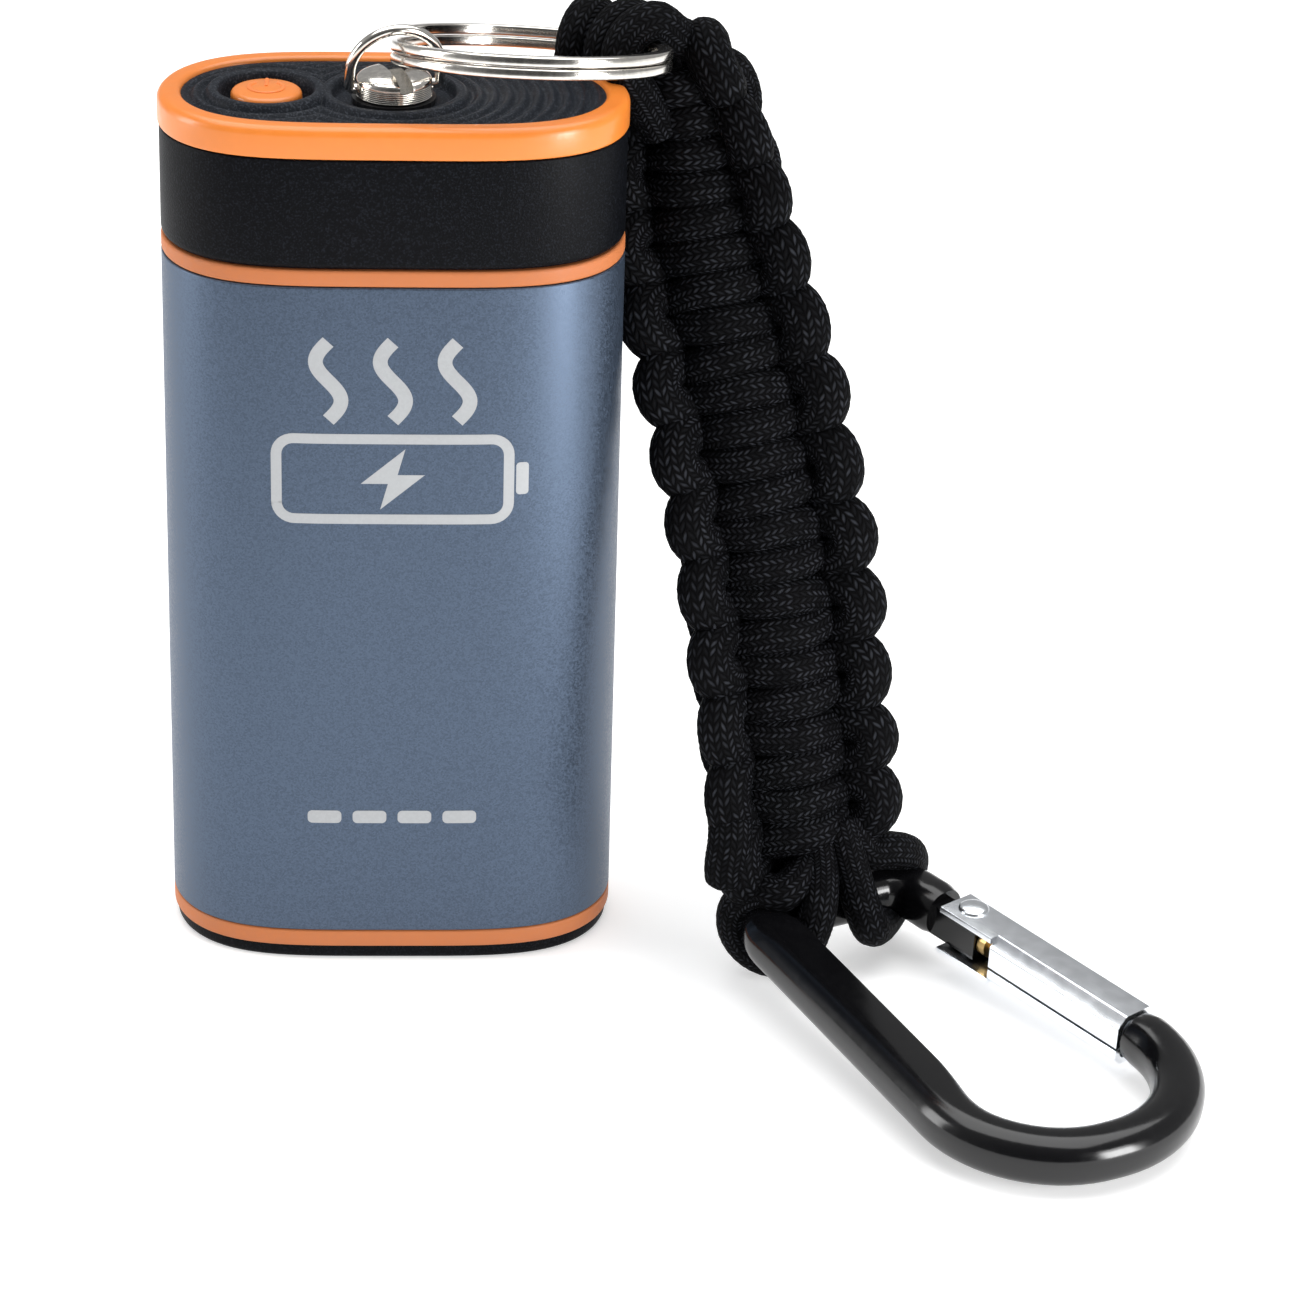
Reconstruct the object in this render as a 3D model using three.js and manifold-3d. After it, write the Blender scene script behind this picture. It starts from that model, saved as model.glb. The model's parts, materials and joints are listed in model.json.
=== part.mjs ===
// A pocket hand warmer and power bank with a paracord lanyard and a carabiner.
// Millimetres, +Z up. The origin is the centre of the base's underside, -Y is the front.
import * as THREE from 'three';
import { mergeVertices } from 'three/addons/utils/BufferGeometryUtils.js';
import Module from 'manifold-3d';

const wasm = await Module();
wasm.setup();

// ---------------------------------------------------------------- driving dimensions
const HALF_WIDTH = 24;
const HALF_DEPTH = 12.5;
const WIDTH_POWER = 4.2;
const DEPTH_POWER = 1.95;
const OUTLINE_SEGMENTS = 44;
const SEAM = 0.05;
// Cutting tools start and end clear of the case.
const BELOW_ALL = -1;
const ABOVE_ALL = 100;

const BASE_TOP = 1.65;
const TRIM_TOP = 3.65;
const SLEEVE_TOP = 78.1;
const GASKET_TOP = 79.85;
const SKIRT_TOP = 91.7;
const RIM_TOP = 95;
const PLATE_TOP = 94.7;

const SLEEVE_WALL = 1.2;
const SKIRT_WALL = 1.6;
const RIM_WALL = 2.3;
const RIM_PROUD = 0.15;
const WEB_THICKNESS = 1.75;

const CELL_RADIUS = 9.1;
const CELL_LENGTH = 65;
const CELL_OFFSET = 9.7;
const CELL_BOTTOM = 7.4;
const CELL_TOP = CELL_BOTTOM + CELL_LENGTH;
const CRADLE_BOTTOM = 5.2;
const CRADLE_TOP = 75;
const CRADLE_CLEARANCE = 0.4;
const TAB_THICKNESS = 0.3;
const LEAD_RADIUS = 0.7;
const LEAD_Y = 7;

const NECK_INSET = 3.4;
const NECK_BOTTOM = 77;
const NECK_TOP = 89.5;
const BOARD_BOTTOM = 75.6;
const BOARD_TOP = 76.8;
const LEAD_TOP = BOARD_BOTTOM - 0.2;

const BUTTON_X = -13;
const BUTTON_RADIUS = 3.75;
const BUTTON_WELL_RADIUS = 5;
const WELL_FLOOR = 93.8;
const SEAL_TOP = 92.4;
const BUTTON_TRAVEL = 0.8;

const SCREW_RADIUS = 3.93;
const SHANK_RADIUS = 2;
const SHANK_HOLE = 2.6;
const STEM_HOLE = 1.7;
const INSERT_RADIUS = 3.2;
const HEAD_BOTTOM = 94.4;
const HEAD_SIDE_TOP = 96.1;
const HEAD_TOP = 97.3;
const RECESS_RADIUS = 6.5;
const RECESS_FLOOR = 93.7;
const SLOT_WIDTH = 1.45;
const SLOT_FLOOR = 95.6;
const SLOT_ANGLE = THREE.MathUtils.degToRad(-70);

const D_RING_ANGLE = THREE.MathUtils.degToRad(14);
const D_RING_LEAN = THREE.MathUtils.degToRad(16);
const D_RING_PIVOT_Z = 95.35;
const D_RING_HALF_WIDTH = 4.75;
const D_RING_HEIGHT = 6.8;
const D_RING_WIRE = 0.55;

const KEY_RING_CENTRE = new THREE.Vector3(14, 0, 99.1);
const KEY_RING_RADIUS = 13.6;
const KEY_RING_TILT = THREE.MathUtils.degToRad(-13);
const KEY_RING_ROLL = THREE.MathUtils.degToRad(2.4);
const COIL_WIDTH = 1.6;
const COIL_HEIGHT = 1.1;
const COIL_PITCH = 1.2;

const STRAP_HALF_THICKNESS = 4.2;
const CORD_RADIUS = 1.7;
const HOOK_ANGLE = THREE.MathUtils.degToRad(35);

const BAR_WIDTH = 5.6;
const BAR_HEIGHT = 6;
const BAR_PIVOT = new THREE.Vector3(46.9, -11.65, 6.6);
const CARABINER_HEADING = THREE.MathUtils.degToRad(-65.6);
const CARABINER_TILT = THREE.MathUtils.degToRad(3.6);
const CARABINER_LENGTH = 52.2;
const SPINE_Y = -9.3;
const GATE_Y = 9.6;
const GATE_ANGLE = THREE.MathUtils.degToRad(13.5);
const GATE_PIVOT_X = 11;
const GATE_BEHIND = 2.4;
const GATE_LENGTH = 24.6;
const SHOULDER = 4.4;
const SHEET = 0.7;
const RIVET_RADIUS = 1.2;
const GATE_HALF_HEIGHT = BAR_HEIGHT / 2 + 0.1;
const GATE_SEAM = 0.15;
const GATE_SEAM_Z = -0.9;
const GATE_WINDOW = 5.4;

// ---------------------------------------------------------------- solids and booleans
function toSolid(geometry) {
  const bare = geometry.clone();
  bare.deleteAttribute('normal');
  bare.deleteAttribute('uv');
  const merged = mergeVertices(bare, 1e-4);
  return new wasm.Manifold(new wasm.Mesh({
    numProp: 3,
    vertProperties: new Float32Array(merged.attributes.position.array),
    triVerts: new Uint32Array(merged.index.array),
  }));
}

function toGeometry(solid) {
  const mesh = solid.getMesh();
  const geometry = new THREE.BufferGeometry();
  geometry.setAttribute('position', new THREE.BufferAttribute(mesh.vertProperties, 3));
  geometry.setIndex(new THREE.BufferAttribute(mesh.triVerts, 1));
  geometry.computeVertexNormals();
  return geometry;
}

function cut(geometry, ...tools) {
  return toGeometry(tools.reduce((solid, tool) => solid.subtract(toSolid(tool)), toSolid(geometry)));
}

function join(geometry, ...others) {
  return toGeometry(others.reduce((solid, other) => solid.add(toSolid(other)), toSolid(geometry)));
}

// ---------------------------------------------------------------- basic shapes
// A point of the body's plan outline: nearly a stadium, with gently bulged faces.
function outlinePoint(angle, inset) {
  const c = Math.cos(angle);
  const s = Math.sin(angle);
  const x = (HALF_WIDTH - inset) * Math.sign(c) * Math.abs(c) ** (2 / WIDTH_POWER);
  const y = (HALF_DEPTH - inset) * Math.sign(s) * Math.abs(s) ** (2 / DEPTH_POWER);
  return new THREE.Vector2(x, y);
}

function outline(inset) {
  const points = [];
  for (let i = 0; i < OUTLINE_SEGMENTS; i += 1) {
    points.push(outlinePoint((i / OUTLINE_SEGMENTS) * 2 * Math.PI, inset));
  }
  return points;
}

function extrude(shape, bottom, top) {
  const geometry = new THREE.ExtrudeGeometry(shape, { depth: top - bottom, bevelEnabled: false });
  return geometry.translate(0, 0, bottom);
}

function slab(inset, bottom, top) {
  return extrude(new THREE.Shape(outline(inset)), bottom, top);
}

function band(outerInset, innerInset, bottom, top) {
  const shape = new THREE.Shape(outline(outerInset));
  shape.holes.push(new THREE.Path(outline(innerInset)));
  return extrude(shape, bottom, top);
}

function post(x, y, radius, bottom, top, sides = 24) {
  const geometry = new THREE.CylinderGeometry(radius, radius, top - bottom, sides);
  geometry.rotateX(Math.PI / 2);
  return geometry.translate(x, y, (bottom + top) / 2);
}

function block(x, y, width, depth, bottom, top) {
  const geometry = new THREE.BoxGeometry(width, depth, top - bottom);
  return geometry.translate(x, y, (bottom + top) / 2);
}

// A turned piece about the Z axis, from (radius, height) pairs that start and end on the axis.
function turned(profile, sides = 32) {
  const points = profile.map(([r, z]) => new THREE.Vector2(r, z));
  return new THREE.LatheGeometry(points, sides).rotateX(Math.PI / 2);
}

// A closed skin over a list of rings of points, all with the same number of points.
function loft(rings) {
  const count = rings[0].length;
  const positions = rings.flat().flatMap((p) => [p.x, p.y, p.z]);
  const faces = [];
  for (let r = 0; r + 1 < rings.length; r += 1) {
    for (let i = 0; i < count; i += 1) {
      const a = r * count + i;
      const b = r * count + ((i + 1) % count);
      faces.push(a, b, b + count, a, b + count, a + count);
    }
  }
  const last = (rings.length - 1) * count;
  for (let i = 1; i + 1 < count; i += 1) {
    faces.push(0, i + 1, i);
    faces.push(last, last + i, last + i + 1);
  }
  const geometry = new THREE.BufferGeometry();
  geometry.setAttribute('position', new THREE.Float32BufferAttribute(positions, 3));
  geometry.setIndex(faces);
  geometry.computeVertexNormals();
  return geometry;
}

// A bar of the given cross-section along a list of points, its section kept square to "up".
function sweep(points, section, up) {
  const rings = points.map((point, i) => {
    const before = points[Math.max(i - 1, 0)];
    const after = points[Math.min(i + 1, points.length - 1)];
    const along = after.clone().sub(before).normalize();
    const side = up.clone().cross(along).normalize();
    const lift = along.clone().cross(side);
    return section.map(([a, b]) => point.clone().addScaledVector(side, a).addScaledVector(lift, b));
  });
  return loft(rings);
}

function roundSection(radius, sides = 10) {
  const section = [];
  for (let i = 0; i < sides; i += 1) {
    const angle = (i / sides) * 2 * Math.PI;
    section.push([radius * Math.cos(angle), radius * Math.sin(angle)]);
  }
  return section;
}

function chamferedSection(width, height, chamfer) {
  const w = width / 2;
  const h = height / 2;
  return [
    [w, -h + chamfer], [w, h - chamfer], [w - chamfer, h], [-w + chamfer, h],
    [-w, h - chamfer], [-w, -h + chamfer], [-w + chamfer, -h], [w - chamfer, -h],
  ];
}

// Points along a path of straight runs whose corners [x, y, radius] are rounded.
function roundedPath(start, corners, end, stepsPerCorner) {
  const points = [start];
  corners.forEach(([x, y, radius], i) => {
    const corner = new THREE.Vector2(x, y);
    const before = i ? new THREE.Vector2(corners[i - 1][0], corners[i - 1][1]) : start;
    const after = corners[i + 1] ? new THREE.Vector2(corners[i + 1][0], corners[i + 1][1]) : end;
    const inward = before.clone().sub(corner).normalize();
    const outward = after.clone().sub(corner).normalize();
    const half = Math.acos(inward.dot(outward)) / 2;
    const centre = inward.clone().add(outward).normalize();
    centre.multiplyScalar(radius / Math.sin(half)).add(corner);
    const first = corner.clone().addScaledVector(inward, radius / Math.tan(half)).sub(centre);
    const last = corner.clone().addScaledVector(outward, radius / Math.tan(half)).sub(centre);
    let turn = last.angle() - first.angle();
    turn -= Math.round(turn / (2 * Math.PI)) * 2 * Math.PI;
    for (let s = 0; s <= stepsPerCorner; s += 1) {
      const spoke = first.clone().rotateAround(new THREE.Vector2(), (turn * s) / stepsPerCorner);
      points.push(spoke.add(centre));
    }
  });
  points.push(end);
  return points;
}

// ---------------------------------------------------------------- colours and finishes
const FINISHES = {
  black: [0x17181b, 0.55, 0],
  orange: [0xf49a4c, 0.4, 0],
  gasket: [0xe08a55, 0.7, 0],
  blue: [0x5b6b88, 0.42, 0.7],
  plate: [0x2e3238, 0.7, 0],
  nickel: [0xc9c6bf, 0.25, 1],
  zinc: [0xd5dbe0, 0.3, 1],
  anodised: [0x0b0b0d, 0.25, 0.6],
  cord: [0x101113, 0.95, 0],
  plastic: [0x3a3d42, 0.6, 0],
  cell: [0x2f6f8f, 0.4, 0],
  heater: [0xb5651d, 0.6, 0],
  board: [0x1f5a34, 0.5, 0],
  steel: [0xb8bcc2, 0.3, 1],
  brass: [0xc2a14d, 0.3, 1],
  white: [0xe6e6e2, 0.5, 0],
  red: [0xa82020, 0.6, 0],
  ferrite: [0x4b4b4f, 0.8, 0],
};

function part(name, geometry, finish) {
  const [color, roughness, metalness] = FINISHES[finish];
  const mesh = new THREE.Mesh(geometry, new THREE.MeshStandardMaterial({ color, roughness, metalness }));
  mesh.name = name;
  return mesh;
}

// ---------------------------------------------------------------- the case
const BASE_SCREW_X = 20.6;

function baseCap() {
  const flange = slab(0.35, 0, BASE_TOP - SEAM);
  const plug = slab(SLEEVE_WALL + 0.9, BASE_TOP - 0.5, 5);
  const holes = [-1, 1].flatMap((side) => [
    post(side * BASE_SCREW_X, 0, 2.3, -1, 1.1, 16),
    post(side * BASE_SCREW_X, 0, 1.4, -1, 6, 16),
  ]);
  return cut(join(flange, plug), ...holes);
}

function baseScrew(side) {
  const profile = [[0, 0.15], [1.9, 0.15], [1.9, 1.05], [1.1, 1.1], [1.1, 9.5], [0, 10.4]];
  const screw = cut(turned(profile, 14), block(0, 0, 2.6, 0.6, -1, 0.6), block(0, 0, 0.6, 2.6, -1, 0.6));
  return screw.translate(side * BASE_SCREW_X, 0, 0);
}

// Two end plates and two side rails that hold the cells upright.
function cellCradle() {
  const bottom = slab(SLEEVE_WALL + CRADLE_CLEARANCE, CRADLE_BOTTOM, CELL_BOTTOM - 0.5);
  const top = slab(SLEEVE_WALL + CRADLE_CLEARANCE, CRADLE_TOP - 1.5, CRADLE_TOP);
  const rails = [-1, 1].map((side) => block(side * BASE_SCREW_X, 0, 2.4, 6, 6, CRADLE_TOP - 1));
  const bores = [-1, 1].map((side) => post(side * BASE_SCREW_X, 0, 1.14, 5, 11, 14));
  const leadHoles = [-1, 1].map((side) => post(0, side * LEAD_Y, LEAD_RADIUS + 0.4, 70, 80, 12));
  return cut(join(bottom, top, ...rails), ...bores, ...leadHoles);
}

function cell(side) {
  const shoulder = CELL_TOP - 0.7;
  const profile = [
    [0, CELL_BOTTOM], [8.6, CELL_BOTTOM], [CELL_RADIUS, CELL_BOTTOM + 0.5],
    [CELL_RADIUS, shoulder - 0.4], [8.6, shoulder], [3.2, shoulder], [3.2, CELL_TOP], [0, CELL_TOP],
  ];
  return turned(profile, 24).translate(side * CELL_OFFSET, 0, 0);
}

// A welded strip that joins the ends of both cells.
function cellTab(bottom) {
  return block(0, 0, 30, 6, bottom, bottom + TAB_THICKNESS);
}

// A thin flexible heater that follows the inside of the sleeve's broad face.
function heaterFilm(side) {
  const near = SLEEVE_WALL + 0.25;
  const far = SLEEVE_WALL + 0.5;
  const spread = THREE.MathUtils.degToRad(62);
  const steps = 12;
  const points = [];
  for (let i = 0; i <= steps; i += 1) {
    points.push(outlinePoint(side * (Math.PI / 2) + spread * ((2 * i) / steps - 1), near));
  }
  for (let i = steps; i >= 0; i -= 1) {
    points.push(outlinePoint(side * (Math.PI / 2) + spread * ((2 * i) / steps - 1), far));
  }
  return extrude(new THREE.Shape(points), 12, 68);
}

// ---------------------------------------------------------------- the neck under the lid
const USB_OUT = { x: 10.6, y: -2.6, width: 13.1, depth: 5.7 };
const USB_IN = { x: 9.5, y: 4.6, width: 7.6, depth: 2.9 };
const PORT_BOTTOM = BOARD_TOP + SEAM;
const PORT_TOP = 89.2;

function neckHousing() {
  const wall = band(NECK_INSET, NECK_INSET + 1.2, NECK_BOTTOM, NECK_TOP);
  const roof = slab(NECK_INSET + 0.6, NECK_TOP - 1.5, NECK_TOP);
  const flange = band(SLEEVE_WALL + 0.25, NECK_INSET + 1, NECK_BOTTOM, NECK_BOTTOM + 1);
  const boss = post(0, 0, 4.2, 80, NECK_TOP - 1);
  const openings = [
    post(0, 0, INSERT_RADIUS + 0.1, BELOW_ALL, ABOVE_ALL),
    post(BUTTON_X, 0, STEM_HOLE, BELOW_ALL, ABOVE_ALL, 16),
    block(USB_OUT.x, USB_OUT.y, USB_OUT.width + 0.5, USB_OUT.depth + 0.5, BELOW_ALL, ABOVE_ALL),
    block(USB_IN.x, USB_IN.y, USB_IN.width + 0.4, USB_IN.depth + 0.4, 84, ABOVE_ALL),
  ];
  return cut(join(wall, roof, flange, boss), ...openings);
}

// A socket's metal shell, open at the top.
function socketShell({ x, y, width, depth }) {
  const shell = block(x, y, width, depth, PORT_BOTTOM, PORT_TOP);
  return cut(shell, block(x, y, width - 0.8, depth - 0.8, PORT_BOTTOM + 2, ABOVE_ALL));
}

function threadedInsert() {
  const bore = post(0, 0, SHANK_RADIUS + 0.1, BELOW_ALL, ABOVE_ALL);
  return cut(post(0, 0, INSERT_RADIUS, 80.2, NECK_TOP - 0.1), bore);
}

// ---------------------------------------------------------------- the lid
function lidSkirt() {
  const wall = band(0, SKIRT_WALL, GASKET_TOP + SEAM, SKIRT_TOP - SEAM);
  const web = slab(SKIRT_WALL - 0.4, SKIRT_TOP - SEAM - WEB_THICKNESS, SKIRT_TOP - SEAM);
  const shankHole = post(0, 0, SHANK_HOLE, 80, ABOVE_ALL);
  return cut(join(wall, web), shankHole, post(BUTTON_X, 0, STEM_HOLE, 80, ABOVE_ALL, 16));
}

// The plate is held in the rim and carries the button's well and the screw's recess.
function lidPlate() {
  return cut(
    slab(RIM_WALL + 0.2, SKIRT_TOP, PLATE_TOP),
    post(0, 0, SHANK_HOLE, 80, ABOVE_ALL),
    post(0, 0, RECESS_RADIUS, RECESS_FLOOR, ABOVE_ALL, 40),
    post(BUTTON_X, 0, BUTTON_RADIUS + 0.25, 80, ABOVE_ALL, 32),
    post(BUTTON_X, 0, BUTTON_WELL_RADIUS, WELL_FLOOR, ABOVE_ALL, 32),
  );
}

function buttonSeal() {
  return cut(
    post(BUTTON_X, 0, BUTTON_RADIUS, SKIRT_TOP + SEAM, SEAL_TOP),
    post(BUTTON_X, 0, STEM_HOLE - 0.2, 80, ABOVE_ALL, 16),
  );
}

function powerButton() {
  const under = SEAL_TOP + 0.1 + BUTTON_TRAVEL;
  const profile = [
    [0, 81.3], [1.2, 81.3], [1.2, under], [BUTTON_RADIUS, under], [BUTTON_RADIUS, 94.9],
    [3.3, 95.35], [2, 95.5], [0, 95.55],
  ];
  return turned(profile).translate(BUTTON_X, 0, 0);
}

function screwWasher() {
  return cut(
    post(0, 0, SCREW_RADIUS + 0.4, RECESS_FLOOR + SEAM, HEAD_BOTTOM - SEAM),
    post(0, 0, SHANK_RADIUS + 0.25, 80, ABOVE_ALL),
  );
}

// A coin-slot screw whose head carries the D-ring in two side holes.
function ringScrew() {
  const dome = [0.35, 0.65, 0.9].map((f) => {
    const angle = Math.asin(f);
    return [SCREW_RADIUS * Math.cos(angle), HEAD_SIDE_TOP + (HEAD_TOP - HEAD_SIDE_TOP) * Math.sin(angle)];
  });
  const profile = [
    [0, 81], [SHANK_RADIUS - 0.4, 81], [SHANK_RADIUS, 81.5], [SHANK_RADIUS, HEAD_BOTTOM],
    [SCREW_RADIUS, HEAD_BOTTOM], [SCREW_RADIUS, HEAD_SIDE_TOP], ...dome, [0, HEAD_TOP],
  ];
  const slot = block(0, 0, 12, SLOT_WIDTH, SLOT_FLOOR, ABOVE_ALL).rotateZ(SLOT_ANGLE);
  const holes = [-1, 1].map((side) => {
    const hole = new THREE.CylinderGeometry(0.75, 0.75, 2.4, 12).rotateZ(Math.PI / 2);
    return hole.translate(side * 3.9, 0, 0).rotateZ(D_RING_ANGLE).translate(0, 0, D_RING_PIVOT_Z);
  });
  return cut(turned(profile), slot, ...holes);
}

// The wire bow, drawn upright in its own plane with its pivot axis along X.
function dRing() {
  const tip = 3;
  const arch = D_RING_HEIGHT - D_RING_HALF_WIDTH;
  const points = [new THREE.Vector3(-tip, 0, 0), new THREE.Vector3(-D_RING_HALF_WIDTH + 0.45, 0, 0)];
  points.push(new THREE.Vector3(-D_RING_HALF_WIDTH + 0.08, 0, 0.3));
  for (let i = 0; i <= 12; i += 1) {
    const angle = Math.PI * (1 - i / 12);
    const x = D_RING_HALF_WIDTH * Math.cos(angle);
    points.push(new THREE.Vector3(x, 0, arch + D_RING_HALF_WIDTH * Math.sin(angle)));
  }
  points.push(new THREE.Vector3(D_RING_HALF_WIDTH - 0.08, 0, 0.3));
  points.push(new THREE.Vector3(D_RING_HALF_WIDTH - 0.45, 0, 0), new THREE.Vector3(tip, 0, 0));
  return sweep(points, roundSection(D_RING_WIRE, 8), new THREE.Vector3(0, 1, 0));
}

// A split ring: two turns of flat wire, one resting on the other.
function keyRing() {
  const turns = 1.96;
  const steps = 48;
  const points = [];
  for (let i = 0; i <= steps; i += 1) {
    const angle = Math.PI + 2 * Math.PI * turns * (i / steps);
    const height = COIL_PITCH * ((turns * i) / steps - turns / 2);
    points.push(new THREE.Vector3(
      KEY_RING_RADIUS * Math.cos(angle),
      KEY_RING_RADIUS * Math.sin(angle),
      height,
    ));
  }
  return sweep(points, chamferedSection(COIL_WIDTH, COIL_HEIGHT, 0.3), new THREE.Vector3(0, 0, 1));
}

// ---------------------------------------------------------------- the lanyard
// Horizontal slices of the woven strap: height, centre x and y, half width,
// half thickness and the angle of the width about Z, in degrees.
const STRAP_UPPER = [
  [95, 29.4, 9.9, 6.5, STRAP_HALF_THICKNESS - 0.8, -30],
  [88, 30.6, 9.1, 8, STRAP_HALF_THICKNESS, -25],
  [80, 32.4, 7.6, 9.5, STRAP_HALF_THICKNESS, -20],
  [68, 35.2, 3.6, 10.3, STRAP_HALF_THICKNESS, -8],
  [54.5, 38.7, -2, 10.3, STRAP_HALF_THICKNESS, 3],
  [50.4, 39.6, -3.5, 10.3, 0.6, 5],
];
const STRAP_LOWER = [
  [49.6, 39.8, -3.8, 10.3, 0.6, 5],
  [45.5, 40.6, -4.9, 10.3, STRAP_HALF_THICKNESS, 8],
  [30, 43.4, -8.3, 10.3, STRAP_HALF_THICKNESS, 16],
  [16.5, 46, -10.7, 10, STRAP_HALF_THICKNESS, 22],
  [15, 47, -10.9, 6.2, STRAP_HALF_THICKNESS - 0.6, 24.4],
  [12.2, 48.3, -11, 5.6, 1.8, 24.4],
];

function strapSlice([z, x, y, halfWidth, halfThickness, turn]) {
  const angle = THREE.MathUtils.degToRad(turn);
  const corners = chamferedSection(2 * halfWidth, 2 * halfThickness, 0.55 * halfThickness);
  return corners.map(([a, b]) => new THREE.Vector3(
    x + a * Math.cos(angle) - b * Math.sin(angle),
    y + a * Math.sin(angle) + b * Math.cos(angle),
    z,
  ));
}

function strap(slices) {
  const upward = [...slices].sort((a, b) => a[0] - b[0]);
  return loft(upward.map(strapSlice));
}

// The point of the key ring that the cord hangs from.
function hookCentre() {
  const local = new THREE.Vector3(
    KEY_RING_RADIUS * Math.cos(HOOK_ANGLE),
    KEY_RING_RADIUS * Math.sin(HOOK_ANGLE),
    0,
  );
  local.applyEuler(new THREE.Euler(KEY_RING_TILT, KEY_RING_ROLL, 0, 'ZYX'));
  return local.add(KEY_RING_CENTRE);
}

// A cord that runs up the outside of the key ring and over its top.
function topHook() {
  const centre = hookCentre();
  const reach = 3.8;
  const outward = new THREE.Vector3(Math.cos(HOOK_ANGLE), Math.sin(HOOK_ANGLE), 0);
  const up = new THREE.Vector3(0, 0, 1);
  const points = [centre.clone().addScaledVector(outward, reach).addScaledVector(up, -4)];
  for (let i = 0; i <= 6; i += 1) {
    const angle = (Math.PI / 2) * (i / 6) * 1.05;
    const point = centre.clone().addScaledVector(outward, reach * Math.cos(angle));
    points.push(point.addScaledVector(up, reach * Math.sin(angle)));
  }
  return sweep(points, roundSection(CORD_RADIUS, 8), outward.clone().cross(up));
}

// A cord that passes behind the carabiner's end bar and part of the way under it.
function bottomHook(offset) {
  const along = new THREE.Vector3(-Math.sin(CARABINER_HEADING), Math.cos(CARABINER_HEADING), 0);
  const forward = new THREE.Vector3(Math.cos(CARABINER_HEADING), Math.sin(CARABINER_HEADING), 0);
  const up = new THREE.Vector3(0, 0, 1);
  const reach = BAR_WIDTH / 2 + 0.5 + CORD_RADIUS;
  const centre = BAR_PIVOT.clone().addScaledVector(along, offset);
  const points = [centre.clone().addScaledVector(up, reach + 1.6).addScaledVector(forward, 0.4)];
  for (let i = 0; i <= 6; i += 1) {
    const angle = THREE.MathUtils.degToRad(90 + (110 * i) / 6);
    const point = centre.clone().addScaledVector(forward, reach * Math.cos(angle));
    points.push(point.addScaledVector(up, reach * Math.sin(angle)));
  }
  return sweep(points, roundSection(CORD_RADIUS, 8), along);
}

// ---------------------------------------------------------------- the carabiner
// Drawn flat about the middle of its end bar: X runs to the far end, +Y is the gate's side.
function gateLine(x) {
  return new THREE.Vector2(x, GATE_Y + Math.tan(GATE_ANGLE) * x);
}

// Places a piece drawn about the gate's pivot, with X along the gate.
function onGate(geometry) {
  const pivot = gateLine(GATE_PIVOT_X);
  return geometry.rotateZ(GATE_ANGLE).translate(pivot.x, pivot.y, 0);
}

function box(x0, x1, y0, y1, z0, z1) {
  return block((x0 + x1) / 2, (y0 + y1) / 2, x1 - x0, y1 - y0, z0, z1);
}

// The bent bar, from the shoulder beside the gate's pivot round to the nose.
function carabinerFrame() {
  const along = Math.cos(GATE_ANGLE);
  const start = gateLine(GATE_PIVOT_X - SHOULDER * along);
  const end = gateLine(GATE_PIVOT_X + (GATE_LENGTH + 0.4) * along);
  const corners = [
    [0, GATE_Y, 4],
    [0, SPINE_Y, 5.5],
    [CARABINER_LENGTH, SPINE_Y, 12.4],
    [CARABINER_LENGTH, gateLine(CARABINER_LENGTH).y, 13.4],
  ];
  const flat = roundedPath(start, corners, end, 6);
  const points = flat.map((p) => new THREE.Vector3(p.x, p.y, 0));
  const section = chamferedSection(BAR_WIDTH, BAR_HEIGHT, 1.5);
  const bar = sweep(points, section, new THREE.Vector3(0, 0, 1));
  const tongue = onGate(box(-SHOULDER - 1, 2.2, -1.8, 0.9, -1.8, 1.8));
  const bore = onGate(post(0, 0, RIVET_RADIUS + 0.12, -5, 5, 16));
  return cut(join(bar, tongue), bore);
}

// A sheet folded into a tube, with its seam towards the eye of the carabiner and
// that side cut away beside the pivot.
function carabinerGate() {
  const outer = 2.9;
  const inner = -2.7;
  const h = GATE_HALF_HEIGHT;
  const fold = 0.9;
  const profile = [
    [inner, GATE_SEAM_Z - GATE_SEAM], [inner, -h + fold], [inner + fold, -h],
    [outer - fold, -h], [outer, -h + fold], [outer, h - fold], [outer - fold, h],
    [inner + fold, h], [inner, h - fold], [inner, GATE_SEAM_Z + GATE_SEAM],
    [inner + SHEET, GATE_SEAM_Z + GATE_SEAM], [inner + SHEET, h - SHEET],
    [outer - SHEET, h - SHEET], [outer - SHEET, -h + SHEET],
    [inner + SHEET, -h + SHEET], [inner + SHEET, GATE_SEAM_Z - GATE_SEAM],
  ].map(([y, z]) => new THREE.Vector2(y, z));
  const tube = extrude(new THREE.Shape(profile), -GATE_BEHIND, GATE_LENGTH);
  tube.rotateX(Math.PI / 2).rotateZ(Math.PI / 2);
  const window = box(-GATE_BEHIND - 1, GATE_WINDOW, inner - 1, inner + SHEET + 0.05, -h - 1, h + 1);
  return cut(tube, window, post(0, 0, RIVET_RADIUS + 0.04, -h - 1, h + 1, 16));
}

function gateRivet() {
  const h = GATE_HALF_HEIGHT + 0.04;
  const profile = [
    [0, -h - 0.6], [1.1, -h - 0.45], [1.8, -h], [RIVET_RADIUS, -h],
    [RIVET_RADIUS, h], [1.8, h], [1.1, h + 0.45], [0, h + 0.6],
  ];
  return turned(profile, 16);
}

// The plunger's head bears on the frame's tongue and its stem carries the spring.
function gatePlunger() {
  const profile = [[0, 2.3], [1.5, 2.3], [1.5, 3.4], [0.6, 3.4], [0.6, 11], [0, 11]];
  return turned(profile, 14).rotateY(Math.PI / 2);
}

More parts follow.
